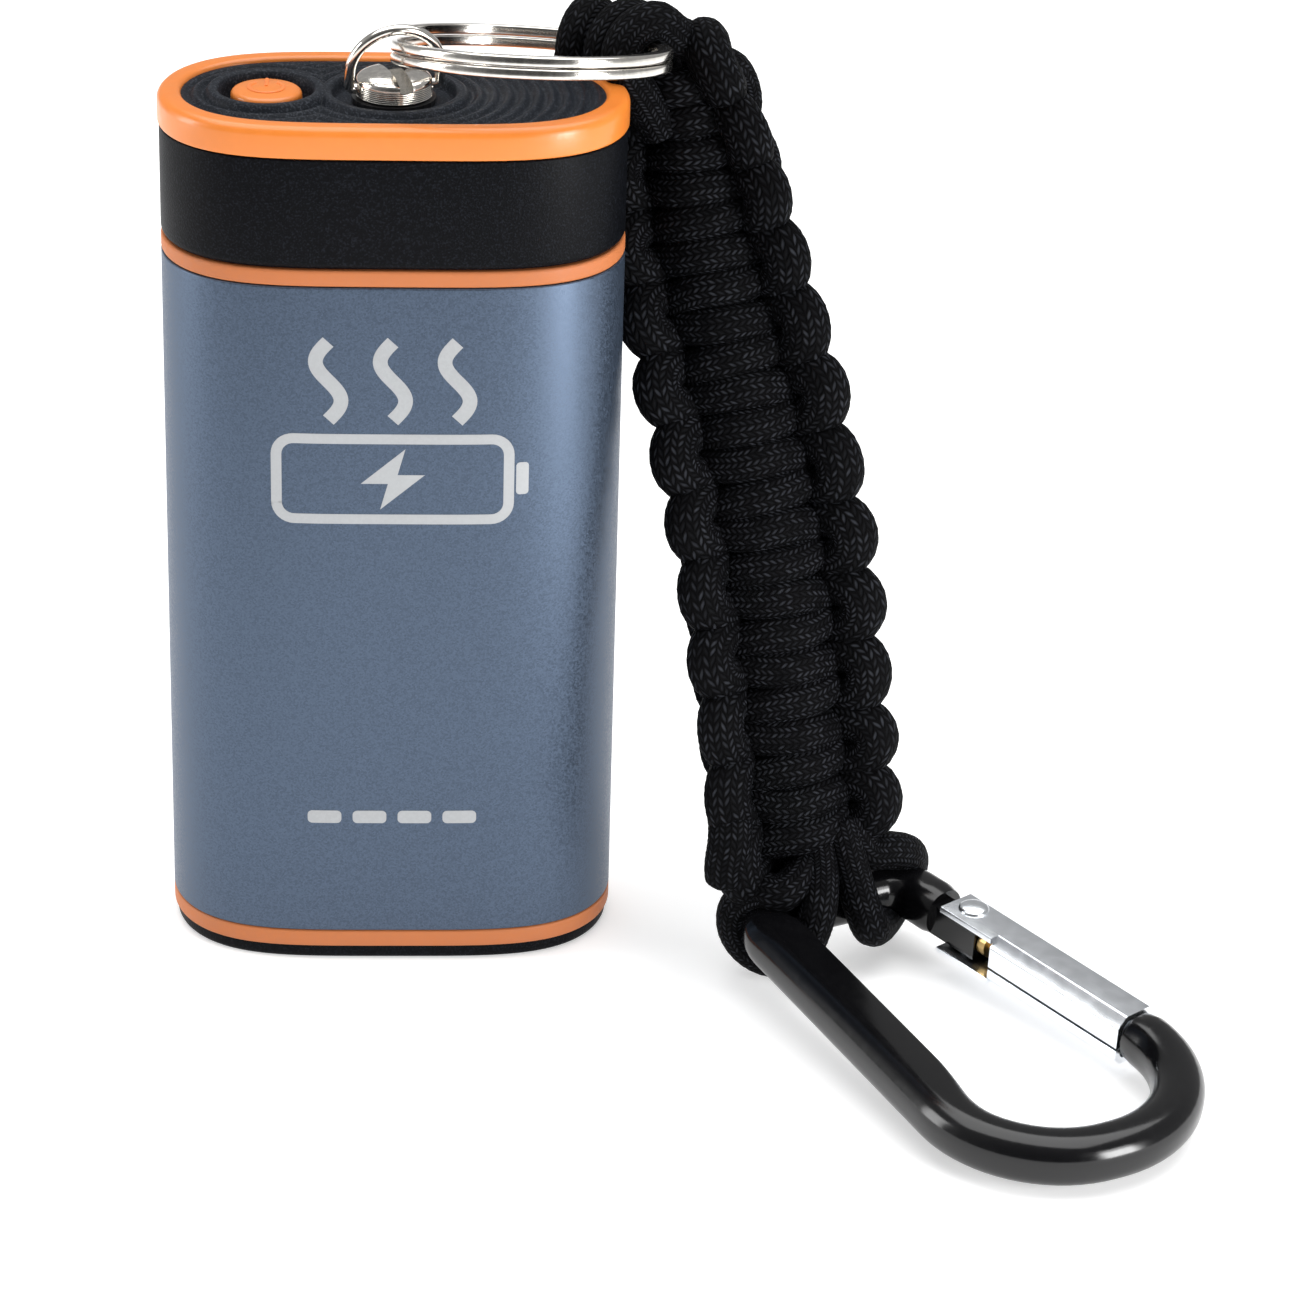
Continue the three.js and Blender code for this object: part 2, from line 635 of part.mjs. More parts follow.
function gateSpring() {
  const turns = 5;
  const steps = 40;
  const points = [];
  for (let i = 0; i <= steps; i += 1) {
    const angle = 2 * Math.PI * turns * (i / steps);
    points.push(new THREE.Vector3(4.6 + (7.6 * i) / steps, 1.15 * Math.cos(angle), 1.15 * Math.sin(angle)));
  }
  return sweep(points, roundSection(0.22, 4), new THREE.Vector3(1, 0, 0));
}

// ---------------------------------------------------------------- the assembly
const charger = new THREE.Group();

charger.add(
  part('base_cap', baseCap(), 'black'),
  part('base_screw_left', baseScrew(-1), 'steel'),
  part('base_screw_right', baseScrew(1), 'steel'),
  part('base_trim_ring', band(0, 1.8, BASE_TOP, TRIM_TOP - SEAM), 'gasket'),
  part('shell_sleeve', band(0, SLEEVE_WALL, TRIM_TOP, SLEEVE_TOP - SEAM), 'blue'),
  part('upper_gasket', band(0, 2.6, SLEEVE_TOP, GASKET_TOP), 'gasket'),
  part('cell_cradle', cellCradle(), 'plastic'),
  part('cell_left', cell(-1), 'cell'),
  part('cell_right', cell(1), 'cell'),
  part('cell_tab_bottom', cellTab(CELL_BOTTOM - 0.1 - TAB_THICKNESS), 'nickel'),
  part('cell_tab_top', cellTab(CELL_TOP + 0.1), 'nickel'),
  part('lead_positive', post(0, LEAD_Y, LEAD_RADIUS, CELL_TOP + 0.6, LEAD_TOP, 10), 'red'),
  part('lead_negative', post(0, -LEAD_Y, LEAD_RADIUS, CELL_BOTTOM - 0.1, LEAD_TOP, 10), 'black'),
  part('heater_film_front', heaterFilm(-1), 'heater'),
  part('heater_film_back', heaterFilm(1), 'heater'),
  part('main_board', slab(SLEEVE_WALL + 0.5, BOARD_BOTTOM, BOARD_TOP), 'board'),
  part('boost_inductor', block(-5.5, -4.6, 5.5, 5, BOARD_TOP + SEAM, 80), 'ferrite'),
  part('tact_switch', block(BUTTON_X, 0, 5, 5, BOARD_TOP + SEAM, 80.4), 'black'),
  part('status_led', block(-8, 5, 1.6, 0.8, BOARD_TOP + SEAM, 77.6), 'white'),
  part('usb_out_socket', socketShell(USB_OUT), 'steel'),
  part('usb_out_tongue', block(USB_OUT.x, USB_OUT.y + 0.9, 10, 1.8, PORT_BOTTOM + 2.1, 88), 'white'),
  part('usb_in_socket', socketShell(USB_IN), 'steel'),
  part('neck_housing', neckHousing(), 'black'),
  part('threaded_insert', threadedInsert(), 'brass'),
  part('lid_skirt', lidSkirt(), 'black'),
  part('lid_rim', band(-RIM_PROUD, RIM_WALL, SKIRT_TOP, RIM_TOP), 'orange'),
  part('lid_plate', lidPlate(), 'plate'),
  part('button_seal', buttonSeal(), 'black'),
  part('power_button', powerButton(), 'orange'),
  part('screw_washer', screwWasher(), 'black'),
  part('ring_screw', ringScrew(), 'nickel'),
);

const bow = part('d_ring', dRing(), 'nickel');
bow.position.set(0, 0, D_RING_PIVOT_Z);
bow.rotation.set(D_RING_LEAN, 0, D_RING_ANGLE, 'ZYX');
charger.add(bow);

const splitRing = part('key_ring', keyRing(), 'nickel');
splitRing.position.copy(KEY_RING_CENTRE);
splitRing.rotation.set(KEY_RING_TILT, KEY_RING_ROLL, 0, 'ZYX');
charger.add(splitRing);

charger.add(
  part('lanyard_upper', join(strap(STRAP_UPPER), topHook()), 'cord'),
  part('lanyard_lower', join(strap(STRAP_LOWER), bottomHook(-2.5), bottomHook(4.5)), 'cord'),
);

const carabiner = new THREE.Group();
carabiner.position.copy(BAR_PIVOT);
carabiner.rotation.set(0, CARABINER_TILT, CARABINER_HEADING, 'ZYX');
carabiner.add(
  part('carabiner_frame', carabinerFrame(), 'anodised'),
  part('carabiner_gate', onGate(carabinerGate()), 'zinc'),
  part('gate_rivet', onGate(gateRivet()), 'zinc'),
  part('gate_plunger', onGate(gatePlunger()), 'steel'),
  part('gate_spring', onGate(gateSpring()), 'steel'),
);
charger.add(carabiner);

export default charger;
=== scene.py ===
# A pocket power bank with a screw-held lid, split ring, woven cord lanyard and snap hook.
# Shapes are worked out in millimetres and made in metres, in the frame's own axes.
import json
from collections import namedtuple
from math import copysign, cos, hypot, pi, radians, sin, sqrt, tan

import bpy
from mathutils import Matrix, Vector, noise


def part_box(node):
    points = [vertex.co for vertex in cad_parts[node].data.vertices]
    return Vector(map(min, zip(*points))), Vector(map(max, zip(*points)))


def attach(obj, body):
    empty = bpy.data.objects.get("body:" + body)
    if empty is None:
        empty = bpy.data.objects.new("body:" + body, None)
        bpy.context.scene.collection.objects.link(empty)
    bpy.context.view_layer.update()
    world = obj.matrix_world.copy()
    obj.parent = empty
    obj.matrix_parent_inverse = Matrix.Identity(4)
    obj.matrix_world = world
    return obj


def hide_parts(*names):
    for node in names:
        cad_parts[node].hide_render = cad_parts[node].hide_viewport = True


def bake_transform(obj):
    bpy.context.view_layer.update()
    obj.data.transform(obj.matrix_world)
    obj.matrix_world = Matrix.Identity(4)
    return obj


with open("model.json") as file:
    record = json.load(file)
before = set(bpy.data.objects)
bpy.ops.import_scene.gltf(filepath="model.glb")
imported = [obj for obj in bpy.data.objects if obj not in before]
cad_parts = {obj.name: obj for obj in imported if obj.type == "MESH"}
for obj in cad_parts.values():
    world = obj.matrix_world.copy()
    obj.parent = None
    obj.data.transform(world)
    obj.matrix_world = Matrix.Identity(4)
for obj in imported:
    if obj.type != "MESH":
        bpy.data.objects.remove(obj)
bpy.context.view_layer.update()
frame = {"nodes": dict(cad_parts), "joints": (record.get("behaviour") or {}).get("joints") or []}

MM = 0.001


def node_box(name):
    """The lowest and highest corners of a CAD node, in millimetres."""
    low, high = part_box(name)
    return low / MM, high / MM


def joint(name):
    """The frame's row for a joint."""
    return next(j for j in frame["joints"] if j["name"] == name)


# -------- driving dimensions
SLEEVE_HIGH = node_box("shell_sleeve")[1]
TRIM_LOW = node_box("base_trim_ring")[0]
SKIRT_LOW, SKIRT_HIGH = node_box("lid_skirt")
RIM_LOW, RIM_HIGH = node_box("lid_rim")
PLATE_TOP = node_box("lid_plate")[1].z
BUTTON_LOW, BUTTON_HIGH = node_box("power_button")
WASHER_LOW, WASHER_HIGH = node_box("screw_washer")
SCREW_LOW, SCREW_HIGH = node_box("ring_screw")
HALF_WIDTH = SLEEVE_HIGH.x
HALF_DEPTH = SLEEVE_HIGH.y
WIDTH_POWER = 4.2
DEPTH_POWER = 1.95
OUTLINE_STEPS = 260
OUTLINE_SAMPLES = 6000
SLEEVE_WALL = 1.2
TRIM_WALL = 1.8
GASKET_WALL = 2.6
SKIRT_WALL = 1.6
SKIRT_WEB = 1.75
FOOT_INSET = 0.35
FOOT_NECK_INSET = 2.1
RIM_WALL = 2.3
RIM_PROUD = RIM_HIGH.x - HALF_WIDTH
BUTTON_X = (BUTTON_LOW.x + BUTTON_HIGH.x) / 2
BUTTON_RADIUS = (BUTTON_HIGH.x - BUTTON_LOW.x) / 2
BUTTON_SINK = 0.4
WELL_RADIUS = 5
WELL_FLOOR = 93.0
RECESS_RADIUS = 6.5
RECESS_FLOOR = WASHER_LOW.z - 0.05
WALL_SLOPE = 0.55
LIP_HALF_WIDTH = 0.85
RIPPLE_PITCH = 1.5
RIPPLE_DEPTH = 0.5
SCREW_RADIUS = SCREW_HIGH.x
AXIS_RADIUS = 0.001  # the smallest ring of a turned solid
INK = 0.02
WORLD_LIGHT, WORLD_FRONT = 0.36, 0.07


# -------- making meshes
def make_piece(name, points, faces, material, uvs=None, crease=40):
    """A mesh object from points in millimetres. Edges sharper than crease degrees stay crisp."""
    mesh = bpy.data.meshes.new(name)
    mesh.from_pydata([(p[0] * MM, p[1] * MM, p[2] * MM) for p in points], [], faces)
    mesh.update()
    mesh.polygons.foreach_set("use_smooth", [True] * len(mesh.polygons))
    if crease:
        mesh.set_sharp_from_angle(angle=radians(crease))
    if uvs:
        layer = mesh.uv_layers.new(name="UVMap")
        layer.data.foreach_set("uv", [value for corners in uvs for uv in corners for value in uv])
    mesh.materials.append(material)
    piece = bpy.data.objects.new(name, mesh)
    bpy.context.scene.collection.objects.link(piece)
    return piece


def grid_faces(rows, columns, wrap_rows=False, wrap_columns=True):
    faces = []
    for r in range(rows if wrap_rows else rows - 1):
        for c in range(columns if wrap_columns else columns - 1):
            a = r * columns + c
            b = r * columns + (c + 1) % columns
            below = ((r + 1) % rows) * columns
            faces.append((a, b, below + (c + 1) % columns, below + c))
    return faces


def capped(rows, columns):
    """The side faces of a tube of rings and the two end faces."""
    last = (rows - 1) * columns
    ends = [tuple(reversed(range(columns))), tuple(range(last, last + columns))]
    return grid_faces(rows, columns) + ends


def place(piece, body, slot, *nodes):
    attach(piece, body)
    if nodes:
        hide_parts(*nodes)
    return piece


def rounded_corner(before, here, after, radius, steps):
    """Points of the arc that rounds a corner, or the corner itself."""
    back = (before - here).normalized()
    ahead = (after - here).normalized()
    half = back.angle(ahead) / 2
    if radius <= 0 or half > pi / 2 - 1e-3:
        return [here]
    reach = radius / tan(half)
    centre = here + (back + ahead).normalized() * (radius / sin(half))
    first = here + back * reach - centre
    turn = first.angle_signed(here + ahead * reach - centre)
    points = []
    for s in range(steps + 1):
        c = cos(-turn * s / steps)
        sn = sin(-turn * s / steps)
        points.append(centre + Vector((first.x * c - first.y * sn, first.x * sn + first.y * c)))
    return points


def fillet(corners, steps=5):
    """Points of an outline whose corners are (a, b, radius)."""
    spots = [Vector(corner[:2]) for corner in corners]
    points = []
    for i, here in enumerate(spots):
        after = spots[(i + 1) % len(spots)]
        points += rounded_corner(spots[i - 1], here, after, corners[i][2], steps)
    return points


def densify(outline, step, closed=True):
    """The same outline with its long sides divided into pieces of about one step."""
    dense = []
    for a, b in zip(outline, outline[1:] + (outline[:1] if closed else [])):
        pieces = max(1, int((b - a).length / step))
        dense += [a.lerp(b, k / pieces) for k in range(pieces)]
    return dense if closed else dense + outline[-1:]


def smooth_step(low, high, value):
    """Rises smoothly from 0 at low to 1 at high."""
    t = max(0.0, min(1.0, (value - low) / (high - low)))
    return t * t * (3 - 2 * t)


def smooth_path(points, per_span):
    """A Catmull-Rom curve through the points."""
    pts = [Vector(p) for p in points]
    pts = [pts[0] * 2 - pts[1]] + pts + [pts[-1] * 2 - pts[-2]]
    out = []
    for i in range(1, len(pts) - 2):
        a, b, c, d = pts[i - 1:i + 3]
        for s in range(per_span):
            t = s / per_span
            out.append(0.5 * (2 * b + (c - a) * t + (2 * a - 5 * b + 4 * c - d) * t * t
                              + (3 * b - a - 3 * c + d) * t ** 3))
    out.append(pts[-2])
    return out


def even_path(points, step):
    """The same path with points a fixed step apart."""
    out = [points[0].copy()]
    left = step
    for a, b in zip(points, points[1:]):
        span = (b - a).length
        at = left
        while at <= span:
            out.append(a.lerp(b, at / span))
            at += step
        left = at - span
    return out


def heading(points, i):
    """The direction of a path at one of its points."""
    return (points[min(i + 1, len(points) - 1)] - points[max(i - 1, 0)]).normalized()


def distances(points):
    """How far along a path each of its points is."""
    far = [0.0]
    for a, b in zip(points, points[1:]):
        far.append(far[-1] + (b - a).length)
    return far


def circle(sides):
    """The cosine and sine at each corner of a round section."""
    return [(cos(2 * pi * i / sides), sin(2 * pi * i / sides)) for i in range(sides)]


def bow(centre, across, up, wide, high, turns):
    """Points of an oval arc, at turns given in degrees."""
    return [centre + across * (wide * cos(radians(t))) + up * (high * sin(radians(t))) for t in turns]


def path_frames(points, first_up):
    """A direction along the path and two square to it at each point, without twist."""
    frames = []
    up = Vector(first_up)
    for i in range(len(points)):
        along = heading(points, i)
        up = (up - along * up.dot(along)).normalized()
        frames.append((along, along.cross(up), up))
    return frames


# -------- materials
class Nodes:
    """Short ways to add shader nodes to a material or a world."""

    def __init__(self, owner):
        owner.use_nodes = True
        self.owner = owner
        self.tree = owner.node_tree
        self.shader = self.tree.nodes.get("Principled BSDF")

    def add(self, kind, inputs=(), **settings):
        node = self.tree.nodes.new(kind)
        for key, value in settings.items():
            setattr(node, key, value)
        for key, value in dict(inputs).items():
            self.feed(node.inputs[key], value)
        return node

    def feed(self, socket, value):
        if isinstance(value, bpy.types.NodeSocket):
            self.tree.links.new(value, socket)
        else:
            socket.default_value = value

    def math(self, operation, a, b=0.0):
        return self.add("ShaderNodeMath", {0: a, 1: b}, operation=operation).outputs[0]

    def mix(self, factor, a, b):
        node = self.add("ShaderNodeMix", {0: factor, 6: a, 7: b}, data_type="RGBA")
        return node.outputs[2]

    def noise(self, scale, detail=3.0, vector=None):
        place_at = vector or self.add("ShaderNodeTexCoord").outputs["Object"]
        inputs = {"Vector": place_at, "Scale": scale, "Detail": detail}
        return self.add("ShaderNodeTexNoise", inputs).outputs["Fac"]

    def spread(self, value, low, high, to_low=0.0, to_high=1.0):
        inputs = {0: value, 1: low, 2: high, 3: to_low, 4: to_high}
        return self.add("ShaderNodeMapRange", inputs).outputs[0]

    def bump(self, height, strength, distance):
        inputs = {"Height": height, "Strength": strength, "Distance": distance}
        self.feed(self.shader.inputs["Normal"], self.add("ShaderNodeBump", inputs).outputs[0])

    def set(self, **values):
        for key, value in values.items():
            self.feed(self.shader.inputs[key.replace("_", " ")], value)
        return self.owner


def material_nodes(name):
    return Nodes(bpy.data.materials.new(name))


def shade(colour, factor):
    return (colour[0] * factor, colour[1] * factor, colour[2] * factor, 1)


def finish(name, colour, roughness, metallic=0.0, grain=900.0, depth=0.05, mottle=0.12, coat=0.0,
           specular=0.5):
    """A plain finish with a fine surface grain and a slow change of shade."""
    n = material_nodes(name)
    slow = n.spread(n.noise(60.0, 2.0), 0.3, 0.7)
    fine = n.noise(grain, 4.0)
    base = n.mix(slow, shade(colour, 1 - mottle), shade(colour, 1 + mottle))
    speck = n.spread(fine, 0.42, 0.62, 0.0, 0.5)
    tinted = n.mix(speck, base, shade(colour, 1 + 2 * mottle))
    n.bump(fine, 0.6, depth * MM)
    rough = n.spread(fine, 0.3, 0.7, roughness * 0.85, min(1.0, roughness * 1.15))
    return n.set(Base_Color=tinted, Roughness=rough, Metallic=metallic, Coat_Weight=coat,
                 Specular_IOR_Level=specular)


def blasted_aluminium():
    """Blue anodised metal with the sparkle of a bead-blasted face."""
    n = material_nodes("blue_anodised")
    cells = n.add("ShaderNodeTexVoronoi", {"Vector": n.add("ShaderNodeTexCoord").outputs["Object"],
                                           "Scale": 6000.0})
    spark = n.add("ShaderNodeSeparateColor", {0: cells.outputs["Color"]}).outputs[0]
    grey = n.spread(spark, 0.0, 1.0, 0.55, 1.0)
    base = n.mix(grey, (0.019, 0.027, 0.042, 1), (0.092, 0.125, 0.181, 1))
    n.bump(n.noise(2600.0, 2.0), 0.25, 0.02 * MM)
    rough = n.spread(spark, 0.0, 1.0, 0.36, 0.58)
    return n.set(Base_Color=base, Roughness=rough, Metallic=0.8)


def textured_plastic(name, colour, bright):
    """Spark-eroded plastic: a dull skin of tiny pits with light specks."""
    n = material_nodes(name)
    pits = n.noise(4600.0, 2.0)
    speck = n.spread(pits, 0.5, 0.7)
    base = n.mix(speck, shade(colour, 1), shade(bright, 1))
    n.bump(pits, 0.8, 0.05 * MM)
    rough = n.spread(n.noise(70.0), 0.3, 0.7, 0.44, 0.5)
    return n.set(Base_Color=base, Roughness=rough, Specular_IOR_Level=0.07)


def bright_metal(name, colour, roughness, scratch=1500.0, mottle=0.12):
    """Plated metal with faint polishing marks."""
    n = material_nodes(name)
    coords = n.add("ShaderNodeTexCoord").outputs["Object"]
    stretched = n.add("ShaderNodeMapping", {"Vector": coords, "Scale": (1.0, 1.0, 0.15)}).outputs[0]
    marks = n.noise(scratch, 5.0, stretched)
    base = n.mix(n.spread(marks, 0.35, 0.65), shade(colour, 1 - mottle), shade(colour, 1 + mottle / 3))
    n.bump(marks, 0.05, 0.003 * MM)
    rough = n.spread(marks, 0.3, 0.7, roughness * 0.9, roughness * 1.12)
    return n.set(Base_Color=base, Roughness=rough, Metallic=1.0)


def braided_cord():
    """A nylon sheath: columns of slanting stitches, with the slant of next columns opposed."""
    n = material_nodes("cord_sheath")
    uv = n.add("ShaderNodeSeparateXYZ", {0: n.add("ShaderNodeTexCoord").outputs["UV"]})
    u, v = uv.outputs[0], uv.outputs[1]
    column = n.math("FLOOR", u)
    across = n.math("SUBTRACT", u, column)
    side = n.math("SUBTRACT", n.math("MULTIPLY", n.math("MODULO", column, 2.0), 2.0), 1.0)
    slant = n.math("MULTIPLY", n.math("SUBTRACT", across, 0.5), side)
    along = n.math("ADD", v, n.math("MULTIPLY", slant, 0.9))
    stitch = n.math("FLOOR", along)
    within = n.math("SUBTRACT", along, stitch)
    round_v = n.math("SINE", n.math("MULTIPLY", within, pi))
    round_u = n.math("SINE", n.math("MULTIPLY", across, pi))
    height = n.math("MULTIPLY", round_v, n.math("POWER", round_u, 0.6))
    cell = n.add("ShaderNodeCombineXYZ", {0: column, 1: stitch}).outputs[0]
    chance = n.add("ShaderNodeTexWhiteNoise", {"Vector": cell}, noise_dimensions="2D").outputs[0]
    # painted light and shade: each stitch is lighter on its crest and dark in the grooves between stitches,
    # and random stitches are lighter as painted sheen flecks
    lit = n.math("MULTIPLY", n.spread(height, 0.45, 1.0), n.spread(chance, 0.15, 1.0, 0.12, 1.0))
    base = n.mix(lit, (0.0008, 0.0008, 0.0011, 1), (0.027, 0.029, 0.035, 1))
    n.bump(height, 0.9, 0.10 * MM)
    return n.set(Base_Color=base, Roughness=0.7, Specular_IOR_Level=0.05)


def striped(name, first, second, scale, roughness, metallic=0.0, direction="X"):
    """Bands of two colours, for windings, tracks and printed film."""
    n = material_nodes(name)
    coords = n.add("ShaderNodeTexCoord").outputs["Object"]
    inputs = {"Vector": coords, "Scale": scale, "Distortion": 1.5, "Detail": 2.0}
    wave = n.add("ShaderNodeTexWave", inputs, bands_direction=direction).outputs["Fac"]
    base = n.mix(n.spread(wave, 0.45, 0.55), shade(first, 1), shade(second, 1))
    n.bump(wave, 0.4, 0.04 * MM)
    return n.set(Base_Color=base, Roughness=roughness, Metallic=metallic)


BLACK = textured_plastic("textured_black", (0.0018, 0.0021, 0.0030), (0.0085, 0.0098, 0.0135))
SMOOTH_BLACK = finish("smooth_black", (0.008, 0.008, 0.009), 0.35, grain=1500.0, depth=0.02)
PLATE = textured_plastic("plate_grey", (0.012, 0.014, 0.018), (0.046, 0.051, 0.062))
BLUE = blasted_aluminium()
ORANGE = finish("orange_gloss", (0.70, 0.198, 0.028), 0.33, grain=800.0, depth=0.015, mottle=0.03, coat=0.12)
# painted shade: the raised power symbol gets its own orange in place of the shade that falls on it; this
# orange is lighter than the button's
SYMBOL_SHADE = finish("orange_shadow", (0.80, 0.20, 0.04), 0.4, grain=800.0, depth=0.01, mottle=0.03)
GASKET = finish("orange_matte", (0.47, 0.144, 0.042), 0.62, grain=1600.0, depth=0.03, mottle=0.04)
NICKEL = bright_metal("bright_nickel", (0.78, 0.75, 0.70), 0.16)
SATIN_STEEL = bright_metal("satin_steel", (0.60, 0.60, 0.61), 0.32)
ZINC = bright_metal("bright_zinc", (0.86, 0.89, 0.93), 0.24, 700.0, 0.04)
BRASS = bright_metal("turned_brass", (0.75, 0.52, 0.22), 0.3)
GLOSS_BLACK = finish("black_anodised", (0.0025, 0.0025, 0.003), 0.17, 0.0, 1200.0, 0.004, 0.1, specular=0.45)
RUBBER = finish("black_rubber", (0.012, 0.012, 0.012), 0.7, grain=1400.0, depth=0.04)
CORD = braided_cord()
SILVER_INK = finish("silver_ink", (0.38, 0.39, 0.40), 0.45, 0.55, 3000.0, 0.01, 0.06)
GREY_PLASTIC = finish("grey_plastic", (0.05, 0.053, 0.058), 0.55)
CELL_WRAP = striped("cell_wrap", (0.03, 0.16, 0.34), (0.035, 0.19, 0.40), 300.0, 0.3, direction="Z")
HEATER = striped("heater_film", (0.50, 0.17, 0.03), (0.30, 0.085, 0.02), 260.0, 0.4, direction="Z")
BOARD = striped("board_mask", (0.012, 0.10, 0.035), (0.03, 0.19, 0.06), 420.0, 0.35)
FERRITE = finish("ferrite", (0.06, 0.06, 0.065), 0.75, grain=1800.0)
WHITE_PLASTIC = finish("white_plastic", (0.75, 0.75, 0.72), 0.4, mottle=0.03)
RED_LEAD = finish("red_insulation", (0.5, 0.02, 0.02), 0.4)
BLACK_LEAD = finish("black_insulation", (0.015, 0.015, 0.015), 0.4)

KEPT_NODES = {
    SATIN_STEEL: ("base_screw_left", "base_screw_right", "cell_tab_bottom", "cell_tab_top",
                  "usb_out_socket", "usb_in_socket", "gate_spring"),
    SMOOTH_BLACK: ("tact_switch", "neck_housing", "screw_washer"),
    GREY_PLASTIC: ("cell_cradle",),
    CELL_WRAP: ("cell_left", "cell_right"),
    RED_LEAD: ("lead_positive",),
    BLACK_LEAD: ("lead_negative",),
    HEATER: ("heater_film_front", "heater_film_back"),
    BOARD: ("main_board",),
    FERRITE: ("boost_inductor",),
    WHITE_PLASTIC: ("status_led", "usb_out_tongue"),
    BRASS: ("threaded_insert", "gate_plunger"),
    RUBBER: ("button_seal",),
}


def finish_kept_nodes():
    """Gives each CAD node that stays in view its material."""
    for material, names in KEPT_NODES.items():
        for name in names:
            mesh = frame["nodes"][name].data
            mesh.materials.clear()
            mesh.materials.append(material)


# -------- the case
def outline_point(angle, inset):
    """A point of the case outline, a superellipse, moved inwards by inset."""
    c, s = cos(angle), sin(angle)
    x = copysign(abs(c) ** (2 / WIDTH_POWER), c) * (HALF_WIDTH - inset)
    y = copysign(abs(s) ** (2 / DEPTH_POWER), s) * (HALF_DEPTH - inset)
    return Vector((x, y, 0))


def even_angles(count):
    """Angles whose points are evenly spaced round the case outline."""
    fine = OUTLINE_SAMPLES
    dense = [outline_point(2 * pi * i / fine, 0) for i in range(fine + 1)]
    lengths = distances(dense)
    angles = []
    at = 0
    for i in range(count):
        wanted = lengths[-1] * i / count
        while lengths[at + 1] < wanted:
            at += 1
        share = (wanted - lengths[at]) / (lengths[at + 1] - lengths[at])
        angles.append(2 * pi * (at + share) / fine)
    return angles


ANGLES = even_angles(OUTLINE_STEPS)


def outline_rings(profile):
    """A ring of points round the case outline for each (inset, height) of a profile."""
    points = []
    for inset, z in profile:
        for angle in ANGLES:
            point = outline_point(angle, inset)
            point.z = z
            points.append(point)
    return points


def shell_band(name, corners, material, body, slot, node):
    """A closed band that follows the case outline; corners are (inset, height, radius)."""
    profile = fillet(corners)
    faces = grid_faces(len(profile), len(ANGLES), wrap_rows=True)
    return place(make_piece(name, outline_rings(profile), faces, material, crease=50), body, slot, node)


def outline_block(name, corners, material):
    """A solid over the case outline; flats close it inside its first and last corners."""
    profile = fillet(corners)
    faces = capped(len(profile), len(ANGLES))
    return make_piece(name, outline_rings(profile), faces, material, crease=50)


def case_band(name, node, wall, radius, material, slot):
    """A plain band of the case, flush with its outline and as high as its node."""
    low, high = node_box(node)
    corners = [(0, low.z, radius), (0, high.z, radius), (wall, high.z, 0.1), (wall, low.z, 0.1)]
    shell_band(name, corners, material, "case", slot, node)


def lid_skirt():
    """The black wall of the lid and the web across it that the screw passes through."""
    low, high = SKIRT_LOW.z, SKIRT_HIGH.z
    web = high - SKIRT_WEB
    flat = 8
    corners = [(flat, high, 0), (0, high, 0.25), (0, low, 0.8),
               (SKIRT_WALL, low, 0.3), (SKIRT_WALL, web, 0.2), (flat, web, 0)]
    piece = outline_block("skirt_wall", corners, BLACK)
    screw_hole, button_hole = 2.6, 1.7
    drill(piece, [(0, 0, screw_hole, web - 2, high + 2), (BUTTON_X, 0, button_hole, web - 2, high + 2)])
    return place(piece, "lid", "black_plastic", "lid_skirt")


def drill(piece, holes):
    """Cuts round holes (x, y, radius, bottom, top) through a piece."""
    sides = 40
    for x, y, radius, bottom, top in holes:
        ring = [(x + radius * c, y + radius * s) for c, s in circle(sides)]
        points = [Vector((a, b, z)) for z in (bottom, top) for a, b in ring]
        subtract(piece, make_piece("cutter", points, capped(2, sides), SMOOTH_BLACK))


def subtract(piece, cutter):
    """Takes the cutter's shape out of the piece and deletes the cutter."""
    modifier = piece.modifiers.new("cut", "BOOLEAN")
    modifier.operation = "DIFFERENCE"
    modifier.solver = "EXACT"
    modifier.object = cutter
    bpy.context.view_layer.update()
    evaluated = piece.evaluated_get(bpy.context.evaluated_depsgraph_get())
    result = bpy.data.meshes.new_from_object(evaluated)
    piece.modifiers.remove(modifier)
    piece.data = result
    result.polygons.foreach_set("use_smooth", [True] * len(result.polygons))
    result.set_sharp_from_angle(angle=radians(35))
    bpy.data.objects.remove(cutter)


def base_cap():
    """The black foot, with counterbores for its two screws."""
    top = node_box("base_cap")[1].z
    flat = 9
    corners = [(flat, 0, 0), (FOOT_INSET, 0, 0.7), (FOOT_INSET, TRIM_LOW.z, 0.1),
               (FOOT_NECK_INSET, TRIM_LOW.z, 0), (FOOT_NECK_INSET, top, 0.3), (flat, top, 0)]
    piece = outline_block("base_foot", corners, BLACK)
    low, high = node_box("base_screw_right")
    x = (low.x + high.x) / 2
    bore_radius, bore_depth = 2.3, 1.1
    drill(piece, [(s * x, 0, bore_radius, -1, bore_depth) for s in (-1, 1)])
    return place(piece, "case", "black_plastic", "base_cap")


def lip(distance, height):
    """Height of the rounded lip round a well, at a distance outside the well's edge."""
    return height * max(0.0, 1 - ((distance - WALL_SLOPE) / LIP_HALF_WIDTH) ** 2)


def outline_level(x, y, half_width, half_depth):
    """Under 1 inside a superellipse like the case outline, over 1 outside it."""
    return abs(x / half_width) ** WIDTH_POWER + abs(y / half_depth) ** DEPTH_POWER


